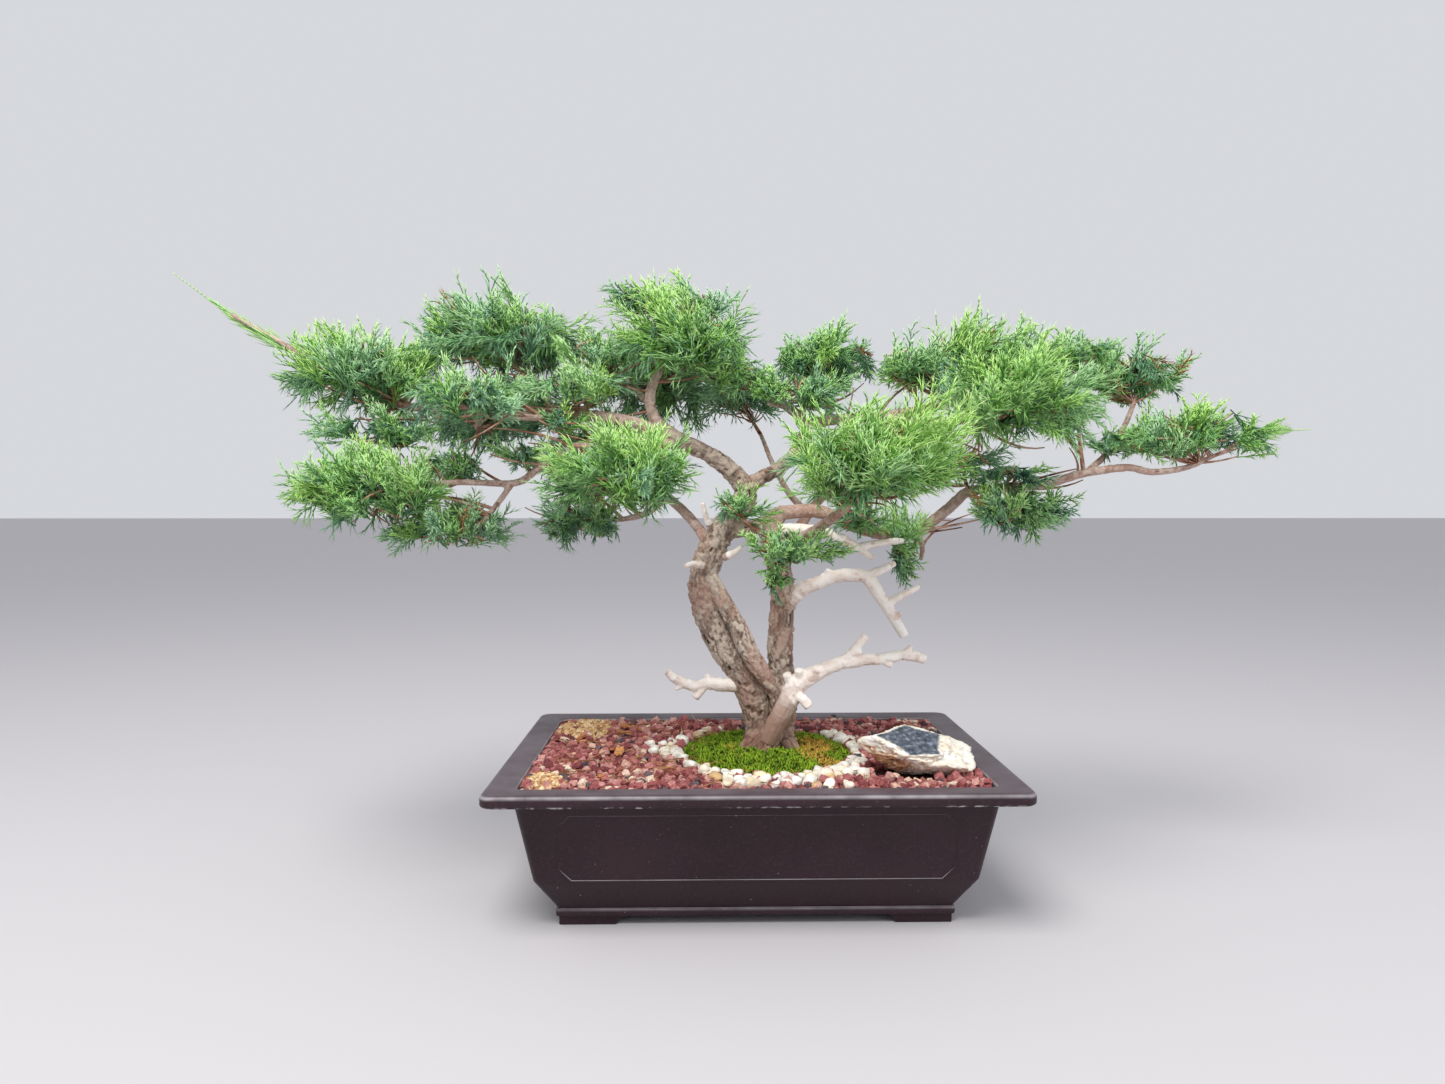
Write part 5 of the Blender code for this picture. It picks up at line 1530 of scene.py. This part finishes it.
def add_leader(strands, points, tone, rng):
    """A long thin leading shoot, clothed in short branchlets that fade out at its tip."""
    route, _ = smooth_route([(*p, 1.0) for p in points], 0.004)
    run = np.diff(route, axis=0)
    share = np.linspace(0, 1, len(run))
    strands.add(route[:-1], run * 1.4, 0.0, 0.0013 - 0.0007 * share, 0.55 + 0.4 * share,
                0.65 + 0.35 * share, tone)
    count = LEADER_SHOOTS
    for _ in range(LEADER_RINGS):
        pick = rng.uniform(0, 0.66, count)
        index = (pick * (len(run) - 1)).astype(int)
        ahead = unit(run[index])
        out = unit(rng.normal(0, 1, (count, 3)) + (0, 0, 0.35))
        length = (0.022 * (1 - pick / 0.72) + 0.003) * rng.uniform(0.7, 1.2, count)
        aim = unit(ahead + out * 0.46)
        strands.add(route[index], aim * length[:, None], ahead * length[:, None] * 0.25,
                    0.00062, 0.50, 0.95, np.clip(tone + rng.normal(0, 0.1, count), 0.1, 0.95))


def add_bare_twigs(branch_points, twig_limbs, rng):
    """Long bare twigs that stray from the outer branches through the foliage."""
    outer = branch_points[np.abs(branch_points[:, 0]) > 0.07]
    low, high = ends(cad_box)
    low, high = low + BARE_TWIG_MARGIN_LOW, high - BARE_TWIG_MARGIN_HIGH
    for start in outer[rng.integers(0, len(outer), BARE_TWIGS)]:
        away = unit(start * (1, 1, 0))
        run = rng.uniform(*BARE_TWIG_LENGTHS)
        reach = unit(away * 0.9 + rng.normal(0, 0.42, 3) + UP * 0.10) * run
        elbow = start + reach * 0.5 + rng.normal(0, 0.14 * run, 3)
        line = bow(start, elbow, start + reach, 8)
        if np.all(line[-1] > low) and np.all(line[-1] < high):
            twig_limbs.append((line, 0.0009 + 0.010 * run, 0.0005))


def make_twigs(twig_limbs, material):
    """The thin brown twigs inside the pads."""
    curve = new_curve("twigs", 1.0, 0)
    for line, thick, thin in twig_limbs:
        shares = [i / (len(line) - 1) for i in range(len(line))]
        add_spline(curve, line, [thick * (1 - share) + thin * share for share in shares])
    mesh = settled_mesh(link_new("twig_curves", curve))
    relief = [0.5 + 0.5 * noise.noise(vert.co * 240) for vert in mesh.vertices]
    set_attribute(mesh, "relief", relief)
    new_piece(mesh, "twigs", material)


# ---------------------------------------------------------------- scene

def make_stage():
    """The pale floor under the pot."""
    bm = bmesh.new()
    bmesh.ops.create_grid(bm, x_segments=1, y_segments=1, size=FLOOR_SIZE)
    floor = link_new("floor", mesh_from_bmesh(bm, "floor"))
    look = Shader("pale_floor", 0.85, 0.2)
    look.surface.inputs["Base Color"].default_value = FLOOR_COLOR
    floor.data.materials.append(look.material)


def make_light(name, place_at, aim_at, size, power, color):
    """A round soft lamp, turned to what it lights."""
    data = bpy.data.lights.new(name, "AREA")
    data.shape = "DISK"
    data.size = size
    data.energy = power
    data.color = color
    lamp = link_new(name, data)
    lamp.location = place_at
    lamp.rotation_mode = "QUATERNION"
    lamp.rotation_quaternion = (Vector(aim_at) - Vector(place_at)).to_track_quat("-Z", "Y")


def make_camera_and_light():
    data = bpy.data.cameras.new("camera")
    data.sensor_width = CAMERA_SENSOR
    data.lens = CAMERA_LENS
    data.clip_start = 0.01
    camera = link_new("camera", data)
    camera.location = CAMERA_PLACE
    camera.rotation_euler = (math.radians(90 + CAMERA_TILT), 0.0, math.radians(CAMERA_TURN))
    bpy.context.scene.camera = camera
    world = bpy.data.worlds.new("studio")
    world.use_nodes = True
    world.node_tree.nodes["Background"].inputs["Color"].default_value = WORLD_COLOR
    world.node_tree.nodes["Background"].inputs["Strength"].default_value = WORLD_STRENGTH
    bpy.context.scene.world = world
    bpy.context.scene.view_settings.view_transform = "Standard"
    make_light("key", (-0.5, -1.2, 2.2), (0, 0, 0.25), 1.3, 52.0, (1.0, 0.985, 0.96))
    make_light("fill", (1.7, -1.2, 1.0), (0, 0, 0.2), 1.6, 10.0, (0.95, 0.97, 1.0))


def make_pot_and_bed():
    """The pot with what lies in it."""
    plastic = plastic_material()
    make_pot(plastic)
    make_panel_lines(plastic)
    assign_carried_node("soil", soil_material())
    assign_carried_node("lava_gravel", bed_material())
    screen = screen_material()
    assign_carried_node("drain_screen_left", screen)
    assign_carried_node("drain_screen_right", screen)
    make_lava(np.random.default_rng(11))
    make_pebbles(np.random.default_rng(12))
    make_granules(np.random.default_rng(13))
    make_moss_bed()
    make_moss_tufts(np.random.default_rng(14))
    litter_rng = np.random.default_rng(15)
    make_dead_needles(litter_rng)
    make_bark_chips(litter_rng)
    make_stone()


def make_trunk_and_branches():
    """The living and the dead wood."""
    bark = bark_material("trunk_bark", (0.052, 0.032, 0.025), (0.270, 0.200, 0.160),
                         (0.590, 0.500, 0.420), (0.400, 0.230, 0.175), 0.60, 0.17)
    thin_bark = bark_material("branch_bark_look", (0.105, 0.052, 0.042), (0.370, 0.230, 0.190),
                              (0.720, 0.560, 0.500), (0.460, 0.220, 0.165), 0.65, 0.15)
    bleached = bleached_material()
    make_wood("trunk_wood", "trunk", TRUNK_LIMBS, bark, voxel=0.00105,
              grain={"depth": 0.0026, "strip_scale": 210.0, "plates": 0.85, "waves": 0.35,
                     "fade": NO_FADE})
    for node, limbs in LIVE_BRANCHES.items():
        make_wood(node + "_wood", node, limbs, thin_bark, voxel=0.0012,
                  grain={"depth": 0.0012, "strip_scale": 360.0, "plates": 0.45, "waves": 0.45,
                         "fade": NO_FADE})
    deadwood_grain = {"depth": 0.0011, "strip_scale": 300.0, "plates": 0.0, "waves": 0.75}
    for node, limbs in DEAD_BRANCHES.items():
        fade = LONG_FADE if node == "jin_lower_right" else SHORT_FADE
        make_wood(node + "_wood", node, limbs, bleached, voxel=0.0009,
                  grain={**deadwood_grain, "fade": fade})
    make_wood("dead_stubs", None, DEAD_STUBS, bleached, voxel=0.0008,
              grain={**deadwood_grain, "fade": (0.0, 0.2)})


def make_foliage():
    """The pads, the thin foliage between them and all their twigs."""
    branch_points = np.concatenate([smooth_route(points, 0.006)[0][len(points):]
                                    for limbs in LIVE_BRANCHES.values() for points in limbs])
    leaf = leaf_material()
    twig_limbs = []
    for index, (node, tone) in enumerate(PAD_TONES.items()):
        make_pad(node, tone, branch_points, twig_limbs, np.random.default_rng(100 + index), leaf)
    for index, (name, spaces) in enumerate(BETWEEN.items()):
        make_between(name, spaces, branch_points, twig_limbs, np.random.default_rng(150 + index),
                     leaf)
    add_bare_twigs(branch_points, twig_limbs, np.random.default_rng(160))
    twig_bark = bark_material("twig_bark", (0.130, 0.050, 0.034), (0.380, 0.180, 0.115),
                              (0.600, 0.390, 0.300), (0.520, 0.200, 0.100), 0.75, 1.0)
    make_twigs(twig_limbs, twig_bark)


make_camera_and_light()
make_stage()
make_pot_and_bed()
make_trunk_and_branches()
make_foliage()
